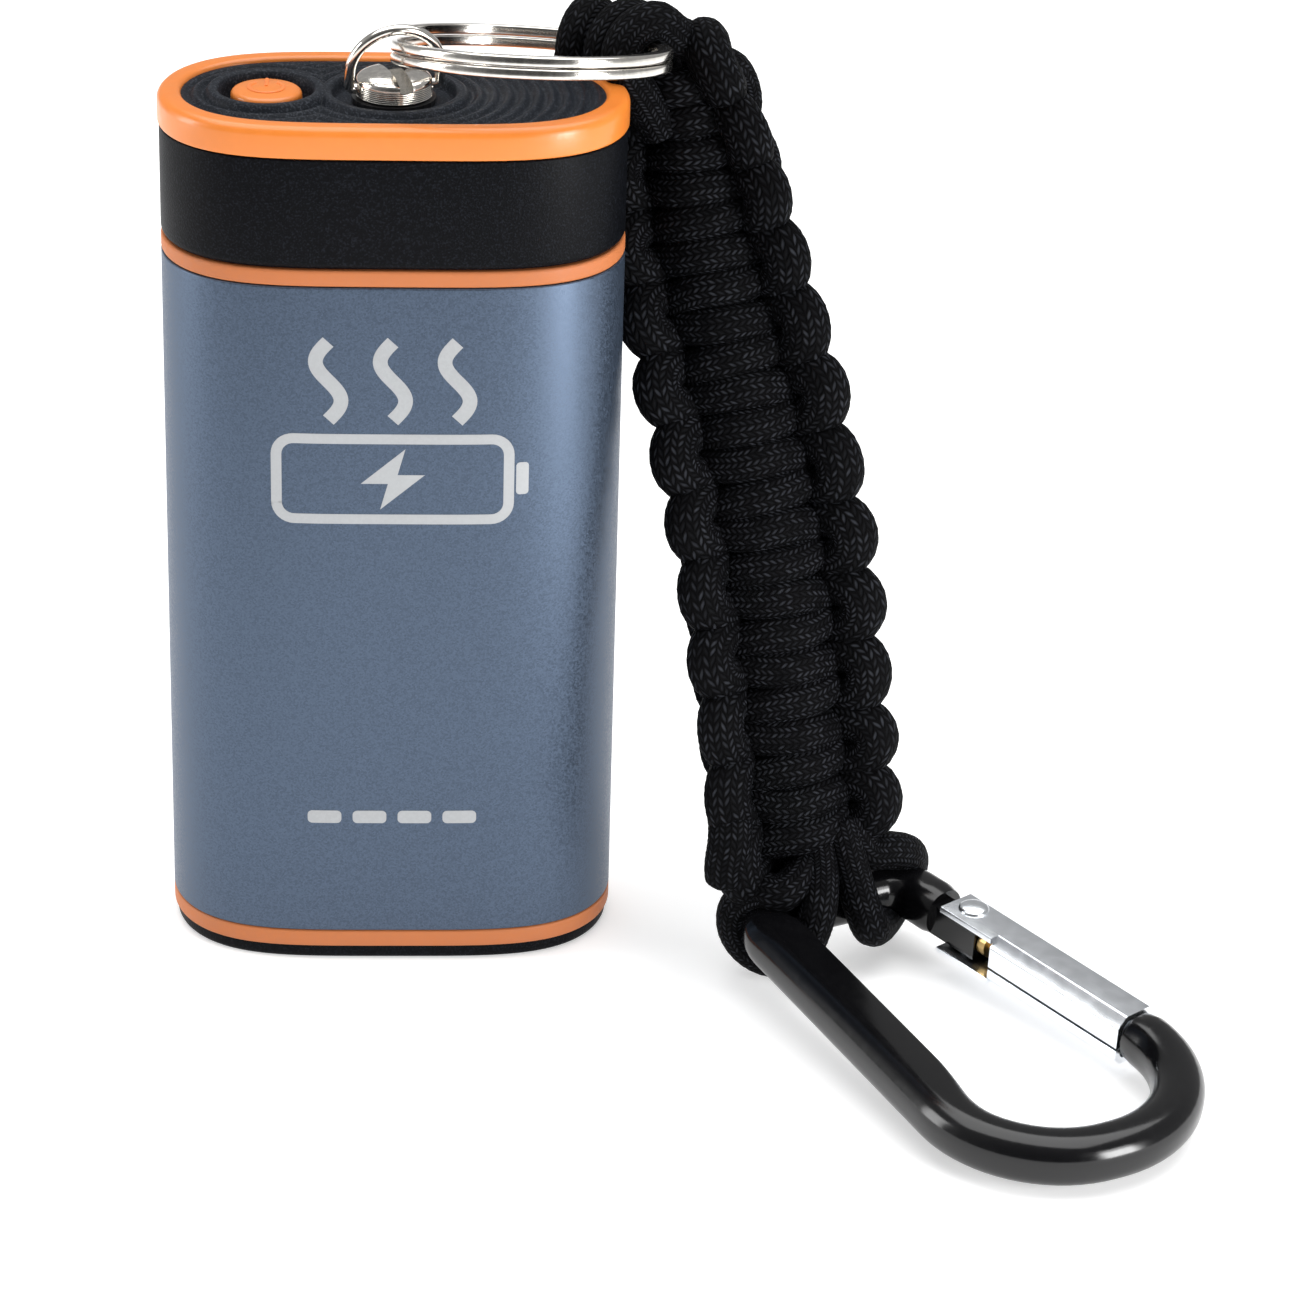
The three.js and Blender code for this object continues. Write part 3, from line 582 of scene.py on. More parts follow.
def plate_height(x, y):
    """Height of the lid plate: a well, a recess and ripples that run round both."""
    to_well = hypot(x - BUTTON_X, y) - WELL_RADIUS
    to_recess = hypot(x, y) - RECESS_RADIUS
    away = min(to_well, to_recess)
    top = PLATE_TOP
    raised = max(lip(to_well, 0.5), lip(to_recess, 0.3))
    if away > 0:
        wave = 0.5 - 0.5 * cos(2 * pi * away / RIPPLE_PITCH)
        groove = RIPPLE_DEPTH * (1 - wave) * smooth_step(0.2, 0.9, away)
        level = outline_level(x, y, HALF_WIDTH - RIM_WALL, HALF_DEPTH - RIM_WALL)
        edge = smooth_step(0.84, 0.99, level)
        return top - groove * (1 - edge) - 0.2 * edge + raised * (1 - edge)
    floor = RECESS_FLOOR if to_recess < to_well else WELL_FLOOR
    brim = top + raised
    return brim + (floor - brim) * smooth_step(0, WALL_SLOPE, -away)


def lid_plate():
    """The dark plate as one rippled sheet, its edge just inside the rim."""
    cell = 0.14
    inset = RIM_WALL - 0.1
    half_width, half_depth = HALF_WIDTH - inset, HALF_DEPTH - inset
    columns = int(2 * HALF_WIDTH / cell)
    rows = int(2 * HALF_DEPTH / cell)
    points = []
    inside = []
    for r in range(rows + 1):
        for c in range(columns + 1):
            x, y = c * cell - HALF_WIDTH, r * cell - HALF_DEPTH
            level = outline_level(x, y, half_width, half_depth)
            inside.append(level < 1)
            if level > 1:
                for _ in range(6):
                    shrink = outline_level(x, y, half_width, half_depth) ** 0.4
                    x /= shrink
                    y /= shrink
            points.append(Vector((x, y, plate_height(x, y))))
    faces = []
    for face in grid_faces(rows + 1, columns + 1, wrap_columns=False):
        if any(inside[k] for k in face):
            faces.append(face)
    used = sorted({k for face in faces for k in face})
    index = {old: new for new, old in enumerate(used)}
    faces = [tuple(index[k] for k in face) for face in faces]
    piece = make_piece("rippled_plate", [points[k] for k in used], faces, PLATE, crease=0)
    return place(piece, "lid", "plate_plastic", "lid_plate")


def lathe(name, profile, spot, material, sides=96, crease=35):
    """A turned solid from (radius, height) pairs that start and end on the axis.

    spot(a, b, height) is the place of a point that is a and b away from the axis."""
    points = []
    for radius, z in profile:
        r = max(radius, AXIS_RADIUS)
        points += [spot(r * c, r * s, z) for c, s in circle(sides)]
    return make_piece(name, points, capped(len(profile), sides), material, crease=crease)


def on_button(x, y, z):
    return Vector((BUTTON_X + x, y, z))


def power_button():
    """The domed button on its stem, with a power symbol raised on it."""
    top = BUTTON_HIGH.z - BUTTON_SINK
    low = BUTTON_LOW.z
    shoulder = top - 0.85
    under = 93.2
    stem = 1.2
    edge = 0.6
    r = BUTTON_RADIUS - 0.1
    profile = [(0, low), (stem, low), (stem, under), (r, under), (r, shoulder)]
    for k in range(1, 6):
        angle = radians(18 * k)
        profile.append((r - edge + edge * cos(angle), shoulder + edge * sin(angle)))
    profile += [(r - 1.5, top - 0.12), (r - 2.4, top - 0.04), (0, top)]
    button = lathe("round_button", profile, on_button, ORANGE)
    place(button, "button", "orange_plastic", "power_button")
    radius = 1.75
    turns = [radians(40 + 280 * k / 40) for k in range(41)]
    arc = [on_button(radius * sin(t), radius * cos(t), top - 0.06) for t in turns]
    bar = [on_button(0, 0.1 + 2.3 * k / 8, top - 0.02) for k in range(9)]
    # the symbol's orange is painted shade
    for name, path in (("button_mark_ring", arc), ("button_mark_bar", bar)):
        place(tube(name, path, (0, 0, 1), 0.2, 0.11, 10, SYMBOL_SHADE), "button", "orange_plastic")


def tube(name, path, up, half_width, half_height, sides, material):
    """A bar of oval section along a path of points."""
    points = []
    for point, (along, side, lift) in zip(path, path_frames(path, up)):
        for c, s in circle(sides):
            points.append(point + side * half_width * c + lift * half_height * s)
    return make_piece(name, points, capped(len(path), sides), material)


def ring_screw():
    """The coin-slot screw: a thread, fine turning marks round its head and a crowned top."""
    side_top = 96.1
    head = WASHER_HIGH.z + 0.05
    crown = SCREW_HIGH.z - side_top
    thread, root, pitch = 2, 1.72, 0.7
    z = SCREW_LOW.z + 0.5
    profile = [(0, SCREW_LOW.z), (thread - 0.4, SCREW_LOW.z), (thread, z)]
    while z < head - 1.2:
        profile += [(thread, z + 0.1), (root, z + 0.35), (thread, z + 0.6)]
        z += pitch
    profile += [(thread, head), (SCREW_RADIUS - 0.15, head), (SCREW_RADIUS, head + 0.15)]
    marks = 7
    for k in range(marks):
        z = head + 0.2 + (side_top - head - 0.35) * k / marks
        profile += [(SCREW_RADIUS, z), (SCREW_RADIUS - 0.05, z + 0.06), (SCREW_RADIUS, z + 0.12)]
    profile.append((SCREW_RADIUS - 0.02, side_top - 0.05))
    for k in range(1, 12):
        angle = pi / 2 * k / 12
        profile.append((SCREW_RADIUS * cos(angle) - 0.04, side_top + crown * sin(angle)))
    profile.append((0, SCREW_HIGH.z))
    piece = lathe("slotted_screw", profile, lambda x, y, z: Vector((x, y, z)), NICKEL, 96, 30)
    cut_slot(piece)
    return place(piece, "screw", "nickel", "ring_screw")


def cut_slot(piece):
    """Cuts the coin slot across the screw's head."""
    heading = radians(-70)
    floor, over, half_length, half_width = 95.75, 99, 6, 0.72
    along = Vector((cos(heading), sin(heading), 0))
    across = Vector((-along.y, along.x, 0))
    corners = []
    for z in (floor, over):
        for a, b in ((-1, -1), (1, -1), (1, 1), (-1, 1)):
            corners.append(along * (a * half_length) + across * (b * half_width) + Vector((0, 0, z)))
    subtract(piece, make_piece("cutter", corners, capped(2, 4), NICKEL))


# -------- rings
def wire_bow():
    """The D-shaped wire whose turned-in ends pivot in the screw head."""
    hinge = joint("bow_fold")
    axis = Vector(hinge["axis"]).normalized()
    pivot = Vector(hinge["pos_m"]) / MM
    lean = radians(16)
    square = Vector((0, 0, 1)).cross(axis).normalized()
    rise = Vector((0, 0, 1)) * cos(lean) - square * sin(lean)
    half, height, wire = 4.75, 6.8, 0.55
    arch = height - half
    flat = [(-3, 0), (-half + 0.6, 0), (-half + 0.14, 0.16), (-half, 0.6)]
    flat += [(half * cos(a), arch + half * sin(a))
             for a in (pi * (1 - k / 24) for k in range(25))]
    flat += [(half, 0.6), (half - 0.14, 0.16), (half - 0.6, 0), (3, 0)]
    path = smooth_path([pivot + axis * a + rise * b for a, b in flat], 3)
    return place(tube("wire_bow", path, square, wire, wire, 18, NICKEL), "bow", "nickel", "d_ring")


RING_LOW, RING_HIGH = node_box("key_ring")
RING_TILT = radians(-13)
RING_ROLL = radians(2.4)
RING_RADIUS = 13.6
RING_CENTRE = (RING_LOW + RING_HIGH) / 2
RING_TURN = Matrix.Rotation(RING_ROLL, 3, "Y") @ Matrix.Rotation(RING_TILT, 3, "X")


def on_ring(angle, lift=0.0, out=0.0):
    """A point of the split ring: angle round it, height above its middle and distance outwards."""
    local = Vector(((RING_RADIUS + out) * cos(angle), (RING_RADIUS + out) * sin(angle), lift))
    return RING_CENTRE + RING_TURN @ local


def split_ring():
    """Nearly two turns of flattened wire, one on the other, with tapered ends."""
    turns, pitch = 1.96, 1.2
    steps = 300
    half_width, half_height = 0.8, 0.55
    points = []
    section = fillet([(half_width, -half_height, 0.34), (half_width, half_height, 0.34),
                      (-half_width, half_height, 0.2), (-half_width, -half_height, 0.2)], 4)
    for i in range(steps + 1):
        share = i / steps
        angle = pi + 2 * pi * turns * share
        lift = pitch * turns * (share - 0.5)
        end = min(share, 1 - share) * steps
        size = min(1.0, 0.72 + 0.14 * end)
        for a, b in section:
            points.append(on_ring(angle, lift + b * size, a * size))
    piece = make_piece("split_ring", points, capped(steps + 1, len(section)), NICKEL, crease=40)
    return place(piece, "ring", "nickel", "key_ring")


# -------- the lanyard
# Middle of the woven strap: height, x, y, half width and the angle of its width about Z.
STRAP_KNOTS = [
    (11, 44.3, -11.6, 10.9, 20), (22, 42.9, -9.9, 11.2, 18), (36, 41.4, -7.1, 11.2, 14),
    (50, 39.3, -3.5, 11.1, 5), (64, 36.1, 1.2, 11.0, -4), (78, 32.6, 6.3, 10.7, -16),
    (88, 31.1, 8.7, 9.6, -22), (96.5, 29.4, 9.3, 7.6, -26),
]
CORD_RADIUS = 2.0
LOOP_RADIUS = 2.1
KNOT_PERIOD = 7.4
CORD_SIDES = 26
CORD_STEP = 0.3
CORD_COLUMNS = 22
CORD_GRAIN = 0.52
CORE_RADIUS = 1.7
WEAVE_START = 1.2
WEAVE_TURNS = 11.9
WEAVE_FLATNESS = 0.86
BURNT_RADIUS = 2.4
StrapPoint = namedtuple("StrapPoint", "length middle across outward along half_width")


def strap_table():
    """The strap's middle line from the bottom up, with its directions and half width."""
    middle = smooth_path([(k[1], k[2], k[0]) for k in STRAP_KNOTS], 24)
    extra = smooth_path([(k[3], k[4], 0) for k in STRAP_KNOTS], 24)
    table = []
    for i, (point, length) in enumerate(zip(middle, distances(middle))):
        along = heading(middle, i)
        angle = radians(extra[i].y)
        across = Vector((cos(angle), sin(angle), 0))
        across = (across - along * across.dot(along)).normalized()
        outward = across.cross(along)
        if outward.y > 0:
            outward = -outward
        table.append(StrapPoint(length, point, across, outward, along, extra[i].x))
    return table


STRAP = strap_table()
STRAP_LENGTH = STRAP[-1].length


def strap_span(length):
    """The nearest length that is on the strap, the entries on either side of it and its share."""
    at = max(0.0, min(length, STRAP_LENGTH - 1e-6))
    i = next(k for k in range(len(STRAP) - 1) if STRAP[k + 1].length >= at)
    a, b = STRAP[i], STRAP[i + 1]
    return at, a, b, (at - a.length) / (b.length - a.length)


def on_strap(length, across, outward):
    """A point in the strap: distance up it, along its width and towards its front face."""
    at, a, b, t = strap_span(length)
    middle = a.middle.lerp(b.middle, t)
    wide = a.across.lerp(b.across, t).normalized()
    front = a.outward.lerp(b.outward, t).normalized()
    along = a.along.lerp(b.along, t)
    return middle + wide * across + front * outward + along * (length - at)


def strap_half(length):
    """Half the strap's width at a distance up it."""
    _, a, b, t = strap_span(length)
    return a.half_width * (1 - t) + b.half_width * t


def strap_front(z):
    """The direction that the strap's front face looks in at a height."""
    return min(STRAP, key=lambda entry: abs(entry.middle.z - z)).outward


def cord_tube(name, path, first_up, squeeze=None, radius=CORD_RADIUS):
    """A braided cord along a path, with uv in stitches: columns round it, grains along it.

    squeeze is how much the cord is widened and flattened where it lies in the strap."""
    path = even_path(path, CORD_STEP)
    frames = path_frames(path, first_up)
    sides = CORD_SIDES
    points = []
    for i, (point, (along, side, lift)) in enumerate(zip(path, frames)):
        end = min(i, len(path) - 1 - i) * CORD_STEP
        taper = min(1.0, sqrt(max(0.0, 1 - (1 - min(1.0, end / radius)) ** 2)) + 0.25)
        at = i * CORD_STEP
        front = strap_front(point.z) if squeeze else None
        for k in range(sides):
            angle = 2 * pi * k / sides
            strand = sin(9 * angle + at * 4.2) * sin(9 * angle - at * 4.2)
            r = radius * taper + 0.045 * strand
            offset = side * (r * cos(angle)) + lift * (r * sin(angle))
            if squeeze:
                depth = front * offset.dot(front)
                offset = (offset - depth) * squeeze[0] + depth * squeeze[1]
            points.append(point + offset)
    faces = capped(len(path), sides)
    uvs = []
    for r in range(len(path) - 1):
        v0, v1 = r * CORD_STEP / CORD_GRAIN, (r + 1) * CORD_STEP / CORD_GRAIN
        for k in range(sides):
            u0, u1 = k * CORD_COLUMNS / sides, (k + 1) * CORD_COLUMNS / sides
            uvs.append([(u0, v0), (u1, v0), (u1, v1), (u0, v1)])
    uvs += [[(0.5, 0.5)] * sides, [(0.5, 0.5)] * sides]
    return make_piece(name, points, faces, CORD, uvs, crease=0)


def weave_cord(name, sign, bunch, reach, side_reach, depth, widen):
    """One working cord of the weave: it crosses one face and loops round the sides of the other.

    sign is 1 for the cord that crosses the front. bunch draws its crossings together, reach and
    side_reach set how wide it swings, depth how far it stands out and widen how flat it lies."""
    raw = []
    steps = 96
    total = int(WEAVE_TURNS * steps)
    for i in range(total + 1):
        phase = 2 * pi * i / steps
        s = phase - bunch * sin(2 * phase) + 0.46 * sin(4 * phase)
        length = WEAVE_START + KNOT_PERIOD * s / (2 * pi)
        turn = sin(phase)
        swing = turn * (reach + side_reach * turn ** 2)
        half = strap_half(length) - CORD_RADIUS * 1.25
        jitter = 0.5 * noise.noise(Vector((phase * 0.9, sign * 3.1, 0)))
        outward = sign * depth * cos(2 * phase)
        raw.append(on_strap(length + jitter, sign * swing * half + jitter, outward))
    return cord_tube(name, raw, STRAP[0].outward, squeeze=(widen, WEAVE_FLATNESS))


def core_cord(name, across):
    """A straight cord inside the weave."""
    path = [on_strap(STRAP_LENGTH * k / 60, across, 0) for k in range(61)]
    return cord_tube(name, path, STRAP[0].outward, radius=CORE_RADIUS)


def weave():
    """The woven length, drawn along the strap's curving middle line."""
    pieces = [weave_cord("weave_front_cord", 1, 1.35, 0.80, 0, 2.9, 1.14),
              weave_cord("weave_back_cord", -1, 1.15, 0.86, 0.14, 3.1, 1.3),
              core_cord("core_cord_left", -2.1),
              core_cord("core_cord_right", 2.1)]
    for piece in pieces:
        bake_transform(piece)
    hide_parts("lanyard_upper", "lanyard_lower")


def ring_loop(name, angle, outer_tail, inner_tail, radius=3.3):
    """A cord loop over the split ring whose two ends run down into the strap."""
    centre = on_ring(angle)
    out = (on_ring(angle, 0, 1) - centre).normalized()
    up = Vector((0, 0, 1))
    up = (up - out * up.dot(out)).normalized()
    path = outer_tail + bow(centre, out, up, radius, radius, range(-25, 226, 25)) + inner_tail
    piece = cord_tube(name, smooth_path(path, 10), out.cross(up), radius=LOOP_RADIUS)
    return place(piece, "strap_top", "cord")


def top_loops():
    """The three loops of cord over the split ring."""
    ring_loop("top_loop_left", radians(62), [(26.5, 12.5, 88), (25.4, 13.4, 92)],
              [(24.2, 9.6, 92.6), (25.5, 10.2, 88)])
    ring_loop("top_loop_middle", radians(42), [(28.6, 11.0, 87), (27.8, 11.6, 92)],
              [(25.2, 7.6, 92.4), (27.0, 8.6, 88)])
    top_arch()


def top_arch():
    """The widest loop, which leaves the ring and turns down the right side of the strap."""
    centre = on_ring(radians(22))
    path = [(28.0, 6.6, 88), (25.6, 5.4, 92.5), centre + Vector((-3.2, -1.2, -0.8)),
            centre + Vector((-2.4, -0.6, 2.2)), centre + Vector((0.2, 0.4, 3.4)),
            (29.0, 6.8, 98.9), (31.6, 8.0, 97.2), (33.4, 8.2, 94.6), (33.8, 7.8, 91.4), (32.6, 7.4, 88)]
    piece = cord_tube("top_loop_right", smooth_path(path, 12), (0, 1, 0), radius=LOOP_RADIUS)
    return place(piece, "strap_top", "cord")


# -------- the snap hook
SWING = joint("carabiner_swing")
BAR_PIVOT = Vector(SWING["pos_m"]) / MM
BAR_AXIS = -Vector(SWING["axis"]).normalized()
HOOK_TILT = radians(3.6)
FLAT_HEADING = Vector((BAR_AXIS.y, -BAR_AXIS.x, 0)).normalized()
HOOK_X = FLAT_HEADING * cos(HOOK_TILT) - Vector((0, 0, 1)) * sin(HOOK_TILT)
HOOK_Z = HOOK_X.cross(BAR_AXIS)
BAR_WIDTH = 5.6
BAR_HEIGHT = 5.6
HOOK_LENGTH = 51.9
SPINE_Y = -9.2
SPINE_LEAN = 1.0
GATE_Y = 9.6
GATE_ANGLE = radians(13.5)
GATE_PIVOT_X = 11
GATE_LENGTH = 24.6
SHOULDER = 4.4
SHEET = 0.7
GATE_HALF = BAR_HEIGHT / 2 + 0.1
BAR_RAISE = 0.2
BAR_ROUND = 2.5
BAR_CRISP = 0.45
RIVET_RADIUS = 1.7
RIVET_SHANK = 1.2
RIVET_DOME = 0.6


def in_hook(x, y, z):
    """A point of the snap hook: x from its end bar to its far end, +y towards the gate."""
    return BAR_PIVOT + HOOK_X * x + BAR_AXIS * y + HOOK_Z * z


def gate_y(x):
    """The middle of the gate's side of the hook at a distance from the end bar."""
    return GATE_Y + tan(GATE_ANGLE) * x


def in_gate(x, y, z):
    """A point of the gate: x along it from its pivot, +y away from the eye."""
    c, s = cos(GATE_ANGLE), sin(GATE_ANGLE)
    return in_hook(GATE_PIVOT_X + x * c - y * s, gate_y(GATE_PIVOT_X) + x * s + y * c, z)


def hook_path():
    """The middle of the bent bar, drawn flat, from the shoulder round to the nose."""
    along = cos(GATE_ANGLE)
    start = GATE_PIVOT_X - SHOULDER * along
    end = GATE_PIVOT_X + (GATE_LENGTH + 0.4) * along
    far = HOOK_LENGTH
    corners = [(start, gate_y(start), 0), (0, GATE_Y, 4), (0, SPINE_Y, 5.5),
               (far, SPINE_Y + SPINE_LEAN, 12.4), (far, gate_y(far), 13.4), (end, gate_y(end), 0)]
    return fillet(corners, 18)


def bar_section(roundness):
    """The bar's outline as (inward, up) pairs: its inner edges go from crisp (0) to round (1)."""
    w, h = BAR_WIDTH / 2, BAR_HEIGHT / 2
    inner = BAR_CRISP + (BAR_ROUND - BAR_CRISP) * roundness
    return fillet([(-w, -h, BAR_ROUND), (w, -h, inner), (w, h, inner), (-w, h, BAR_ROUND)], 8)


def hook_frame():
    """The bent bar and the tongue at its end that the gate turns on."""
    path = densify(hook_path(), 1.2, closed=False)
    travelled = distances(path)
    points = []
    for i, at in enumerate(path):
        along = heading(path, i)
        inward = Vector((-along.y, along.x))
        spine = smooth_step(2.0, 6.0, at.x) * (1 - smooth_step(34.0, 46.0, at.x)) if at.y < 0 else 0.0
        end = min(travelled[i], travelled[-1] - travelled[i])
        size = 0.9 + 0.1 * min(1.0, end / 0.5)
        for a, b in bar_section(1 - spine):
            spot = at + inward * (a * size)
            points.append(in_hook(spot.x, spot.y, b * size + BAR_RAISE))
    faces = capped(len(path), len(bar_section(0)))
    bar = make_piece("hook_frame", points, faces, GLOSS_BLACK, crease=28)
    place(bar, "carabiner", "black_anodised", "carabiner_frame")
    flat, thick, reach = 1.8, 0.9, 2.2
    section = [(-flat, -flat), (thick, -flat), (thick, flat), (-flat, flat)]
    tongue = [in_gate(x, y, z) for x in (-SHOULDER - 1, reach) for y, z in section]
    place(make_piece("hook_tongue", tongue, capped(2, 4), GLOSS_BLACK), "carabiner", "black_anodised")


def gate_profile(open_side):
    """Section of the folded gate: a tube with a seam towards the eye, or cut open there."""
    out, lip_y, seam = 2.9, -2.7, -0.9
    h, t = GATE_HALF, SHEET
    back = [(1.9, -h, 0.5), (out, -h + 1.0, 0.5), (out, h - 1.0, 0.5), (1.9, h, 0.5)]
    lining = [(1.6, h - t, 0.3), (out - t, h - 1.3, 0.3), (out - t, -h + 1.3, 0.3), (1.6, -h + t, 0.3)]
    if open_side:
        lips = [(lip_y, h, 0.1), (lip_y, h - t, 0.1)]
        return fillet([(lip_y, -h, 0.1)] + back + lips + lining + [(lip_y, -h + t, 0.1)], 3)
    inside = lip_y + t
    outer = [(lip_y, seam - 0.14, 0.12), (lip_y, -h + 0.8, 0.4), (lip_y + 0.8, -h, 0.4)] + back
    outer += [(lip_y + 1.1, h, 0.4), (lip_y, h - 1.1, 0.4), (lip_y, seam + 0.14, 0.12)]
    inner = [(inside, seam + 0.14, 0.05), (inside, h - 1.4, 0.2), (lip_y + 1.4, h - t, 0.2)] + lining
    inner += [(lip_y + 1.1, -h + t, 0.2), (inside, -h + 1.1, 0.2), (inside, seam - 0.14, 0.05)]
    return fillet(outer + inner, 3)


def gate_tube(name, x0, x1, open_side):
    """A length of the gate's folded sheet."""
    section = gate_profile(open_side)
    rows = [x0, x0 + 0.25, x1 - 0.25, x1]
    points = [in_gate(x, y, z) for x in rows for y, z in section]
    return make_piece(name, points, capped(len(rows), len(section)), ZINC, crease=30)


def gate():
    """The gate: open cheeks over the tongue, a closed tube and the rivet's two domed heads."""
    place(gate_tube("gate_cheeks", -2.4, 5.4, True), "gate", "zinc", "carabiner_gate")
    place(gate_tube("gate_tube", 5.4, GATE_LENGTH, False), "gate", "zinc")
    h = GATE_HALF
    quarter = [pi / 2 * k / 8 for k in range(9)]
    dome = [(RIVET_RADIUS * cos(a), h + RIVET_DOME * sin(a)) for a in quarter[:8]]
    profile = [(0, -h - RIVET_DOME)] + [(radius, -z) for radius, z in reversed(dome)]
    profile += [(RIVET_RADIUS, -h + 0.05), (RIVET_SHANK, -h + 0.05)]
    profile += [(RIVET_SHANK, h - 0.05), (RIVET_RADIUS, h - 0.05)]
    profile += dome + [(0, h + RIVET_DOME)]
    rivet = lathe("gate_rivet_head", profile, in_gate, ZINC, 40)
    place(rivet, "gate", "zinc", "gate_rivet")


def bottom_loops():
    """Two cord loops round the snap hook's end bar: one at its spine corner, one by the gate."""
    centre = Vector((41.0, -16.4, 6.6))
    sideways = Vector((0.935, -0.35, 0))
    left = [(45.2, -11.0, 17), (46.0, -13.8, 12.6), (45.8, -17.2, 9.4)]
    left += bow(centre, sideways, Vector((0, 0, 1)), 4.2, 4.1, range(-10, -281, -30))
    left += [(43.6, -15.4, 11.6), (44.9, -12.4, 13.5), (45.8, -10.4, 17)]
    right = [(47.9, -11.0, 17), (49.4, -13.2, 12.0), (50.6, -14.9, 8.6), (51.8, -14.9, 5.6),
             (53.4, -10.8, 3.9), (55.6, -6.0, 4.6), (56.8, -5.2, 7.8), (56.2, -7.2, 10.4),
             (54.0, -9.4, 12.0), (51.0, -10.8, 13.0), (48.6, -10.6, 17)]
    for name, path in (("bottom_loop_left", left), ("bottom_loop_right", right)):
        piece = cord_tube(name, smooth_path(path, 10), (1, 0, 0), radius=LOOP_RADIUS)
        place(piece, "strap_bottom", "cord")
    burnt_end()


def burnt_end():
    """The melted end of the working cord, tucked at the strap's lower left."""
    path = [on_strap(8.5, -8.2, 2.0), on_strap(6.0, -9.0, 2.9), on_strap(3.4, -9.6, 2.6),
            on_strap(1.2, -9.4, 1.8)]
    piece = cord_tube("melted_cord_end", smooth_path(path, 8), (1, 0, 0), radius=BURNT_RADIUS)
    place(piece, "strap_bottom", "cord")


# -------- the printed icon
def front_y(x):
    """Where the front face of the case is, with the ink's thickness."""
    level = 1 - abs(x / HALF_WIDTH) ** WIDTH_POWER
    return -HALF_DEPTH * level ** (1 / DEPTH_POWER) - INK


def on_front(spot):
    return Vector((spot.x, front_y(spot.x), spot.y))


def ink_strip(path, width):
    """Points and faces of a flat line of ink on the front face; the path is (x, z) pairs."""
    points = []
    path = [Vector(p) for p in path]
    for i, at in enumerate(path):
        along = heading(path, i)
        side = Vector((-along.y, along.x)) * (width / 2)
        points += [on_front(at - side), on_front(at + side)]
    return points, grid_faces(len(path), 2, wrap_columns=False)


def ink_fill(outline):
    """A filled ink shape that is star-shaped about its middle."""
    outline = densify([Vector(p) for p in outline], 0.5)
    middle = sum(outline, Vector((0, 0))) / len(outline)
    rings = 6
    points = []
    for r in range(1, rings + 1):
        points += [on_front(middle.lerp(p, r / rings)) for p in outline]
    faces = grid_faces(rings, len(outline))
    faces.append(tuple(reversed(range(len(outline)))))
    return points, faces


def ink_piece(name, shapes):
    """One piece from several ink shapes."""
    points, faces = [], []
    for shape_points, shape_faces in shapes:
        base = len(points)
        points += shape_points
        faces += [tuple(base + k for k in face) for face in shape_faces]
    return place(make_piece(name, points, faces, SILVER_INK, crease=0), "case", "blue_aluminium")


def rounded_box(x, z, width, height, radius):
    """A rounded rectangle about a middle."""
    w, h = width / 2, height / 2
    return fillet([(x - w, z - h, radius), (x + w, z - h, radius),
                   (x + w, z + h, radius), (x - w, z + h, radius)], 8)


def printed_icon():
    """Three heat waves over a battery with a bolt, and a row of charge marks below."""
    shapes = []
    for x in (-6.6, 0, 6.6):
        wave = [(x + 1.3 * sin(2 * pi * k / 40), 63.6 + 8.6 * k / 40) for k in range(41)]
        shapes.append(ink_strip(wave, 1.5))
    body = densify(rounded_box(0, 57, 24, 9, 1.8), 0.5)
    shapes.append(ink_strip(body + body[:2], 1.1))
    shapes.append(ink_fill(rounded_box(13.4, 57, 1.3, 3.6, 0.4)))
    shapes.append(ink_fill([(1.3, 60.4), (-3.3, 56.5), (-0.5, 56.5), (-1.3, 53.6), (3.3, 57.5), (0.5, 57.5)]))
    ink_piece("printed_heat_icon", shapes)
    marks = [ink_fill(rounded_box(x, 17.6, 3.6, 1.5, 0.5)) for x in (-7.2, -2.4, 2.4, 7.2)]
    ink_piece("printed_charge_marks", marks)


# -------- building it all
def lid_rim():
    """The orange ring round the top, rounder outside than inside."""
    low, high = RIM_LOW.z, RIM_HIGH.z
    corners = [(-RIM_PROUD, low, 0.3), (-RIM_PROUD, high, 0.95), (RIM_WALL, high, 0.6), (RIM_WALL, low, 0.1)]
    shell_band("rim", corners, ORANGE, "lid", "orange_plastic", "lid_rim")


def build():
    finish_kept_nodes()
    base_cap()
    case_band("base_ring", "base_trim_ring", TRIM_WALL, 0.3, GASKET, "orange_soft")
    case_band("sleeve", "shell_sleeve", SLEEVE_WALL, 0.22, BLUE, "blue_aluminium")
    case_band("seam_ring", "upper_gasket", GASKET_WALL, 0.35, GASKET, "orange_soft")
    lid_skirt()
    lid_rim()
    lid_plate()
    power_button()
    ring_screw()
    wire_bow()
    split_ring()
    weave()
    top_loops()
    hook_frame()
    gate()
    bottom_loops()
    printed_icon()


# -------- stage, light and camera
def studio_floor():
    """A wide pale floor."""
    n = material_nodes("studio_floor")
    grey = n.spread(n.noise(3.0), 0.3, 0.7, 0.80, 0.83)
    colour = n.add("ShaderNodeCombineColor", {0: grey, 1: grey, 2: grey}).outputs[0]
    material = n.set(Base_Color=colour, Roughness=0.9, Emission_Color=(1, 1, 1, 1), Emission_Strength=0.42)
    size = 3000
    corners = [(-size, -size, 0), (size, -size, 0), (size, size, 0), (-size, size, 0)]
    make_piece("studio_floor", corners, [(0, 1, 2, 3)], material)


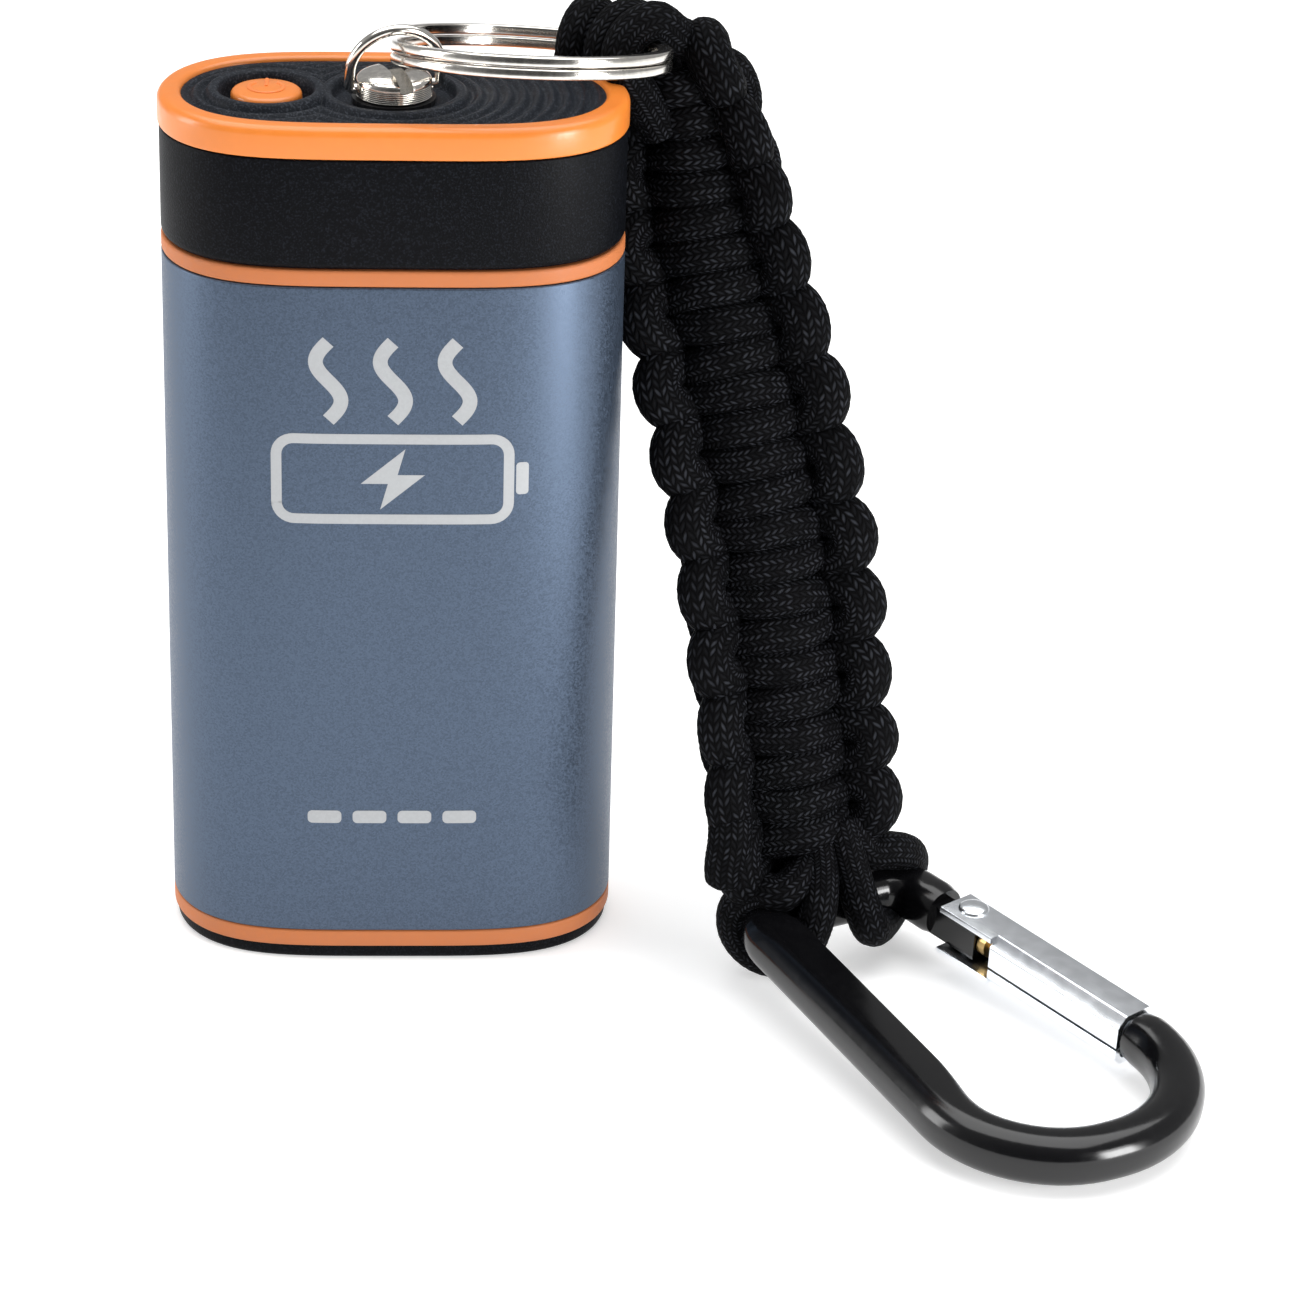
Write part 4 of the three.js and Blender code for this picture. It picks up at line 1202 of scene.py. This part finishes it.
def studio_world():
    """White where the camera sees it; as light, dimmer from the front than from behind."""
    world = bpy.data.worlds.new("studio")
    n = Nodes(world)
    direction = n.add("ShaderNodeTexCoord").outputs["Generated"]
    depth = n.add("ShaderNodeSeparateXYZ", {0: direction}).outputs["Y"]
    room = n.spread(depth, -0.95, -0.1, WORLD_FRONT, WORLD_LIGHT)
    seen = n.add("ShaderNodeLightPath").outputs["Is Camera Ray"]
    background = n.tree.nodes["Background"]
    n.feed(background.inputs["Color"], (1, 1, 1, 1))
    n.feed(background.inputs["Strength"], n.spread(seen, 0.0, 1.0, room, 1.0))
    bpy.context.scene.world = world


def soft_light(name, place_at, target, width, height, power):
    data = bpy.data.lights.new(name, "AREA")
    data.shape = "RECTANGLE"
    data.size = width
    data.size_y = height
    data.energy = power
    lamp = bpy.data.objects.new(name, data)
    lamp.location = place_at
    lamp.rotation_euler = (Vector(target) - Vector(place_at)).to_track_quat("-Z", "Y").to_euler()
    bpy.context.scene.collection.objects.link(lamp)


def lights():
    middle = (0.02, 0, 0.04)
    soft_light("top_softbox", (0.05, 0.10, 0.85), middle, 1.1, 0.9, 9.5)
    soft_light("left_softbox", (-0.8, 0.0, 0.22), middle, 0.3, 0.6, 4.2)
    soft_light("right_softbox", (0.62, -0.50, 0.16), middle, 0.26, 0.6, 4.0)
    soft_light("low_fill", (0.27, -0.23, 0.07), (0.01, 0, 0.05), 0.10, 0.12, 0.55)


def camera():
    """Stands in front and a little above, looking slightly to the left and down."""
    yaw, pitch, roll = radians(3.458), radians(25.817), radians(1.736)
    distance, aside, height = 487, 28.15, 31.98
    target = Vector((aside * cos(yaw), -aside * sin(yaw), height))
    ahead = Vector((sin(yaw) * cos(pitch), cos(yaw) * cos(pitch), -sin(pitch)))
    right = Vector((cos(yaw), -sin(yaw), 0))
    up = right.cross(ahead)
    turned_right = right * cos(roll) + up * sin(roll)
    turned_up = up * cos(roll) - right * sin(roll)
    data = bpy.data.cameras.new("camera")
    data.sensor_width = 36
    data.lens = 124.14
    data.clip_start = 0.01
    shot = bpy.data.objects.new("camera", data)
    place_at = (target - ahead * distance) * MM
    rows = zip(turned_right, turned_up, -ahead, place_at)
    shot.matrix_world = Matrix([list(row) for row in rows] + [[0, 0, 0, 1]])
    bpy.context.scene.collection.objects.link(shot)
    bpy.context.scene.camera = shot


build()
studio_floor()
studio_world()
lights()
camera()
bpy.context.scene.view_settings.view_transform = "Standard"
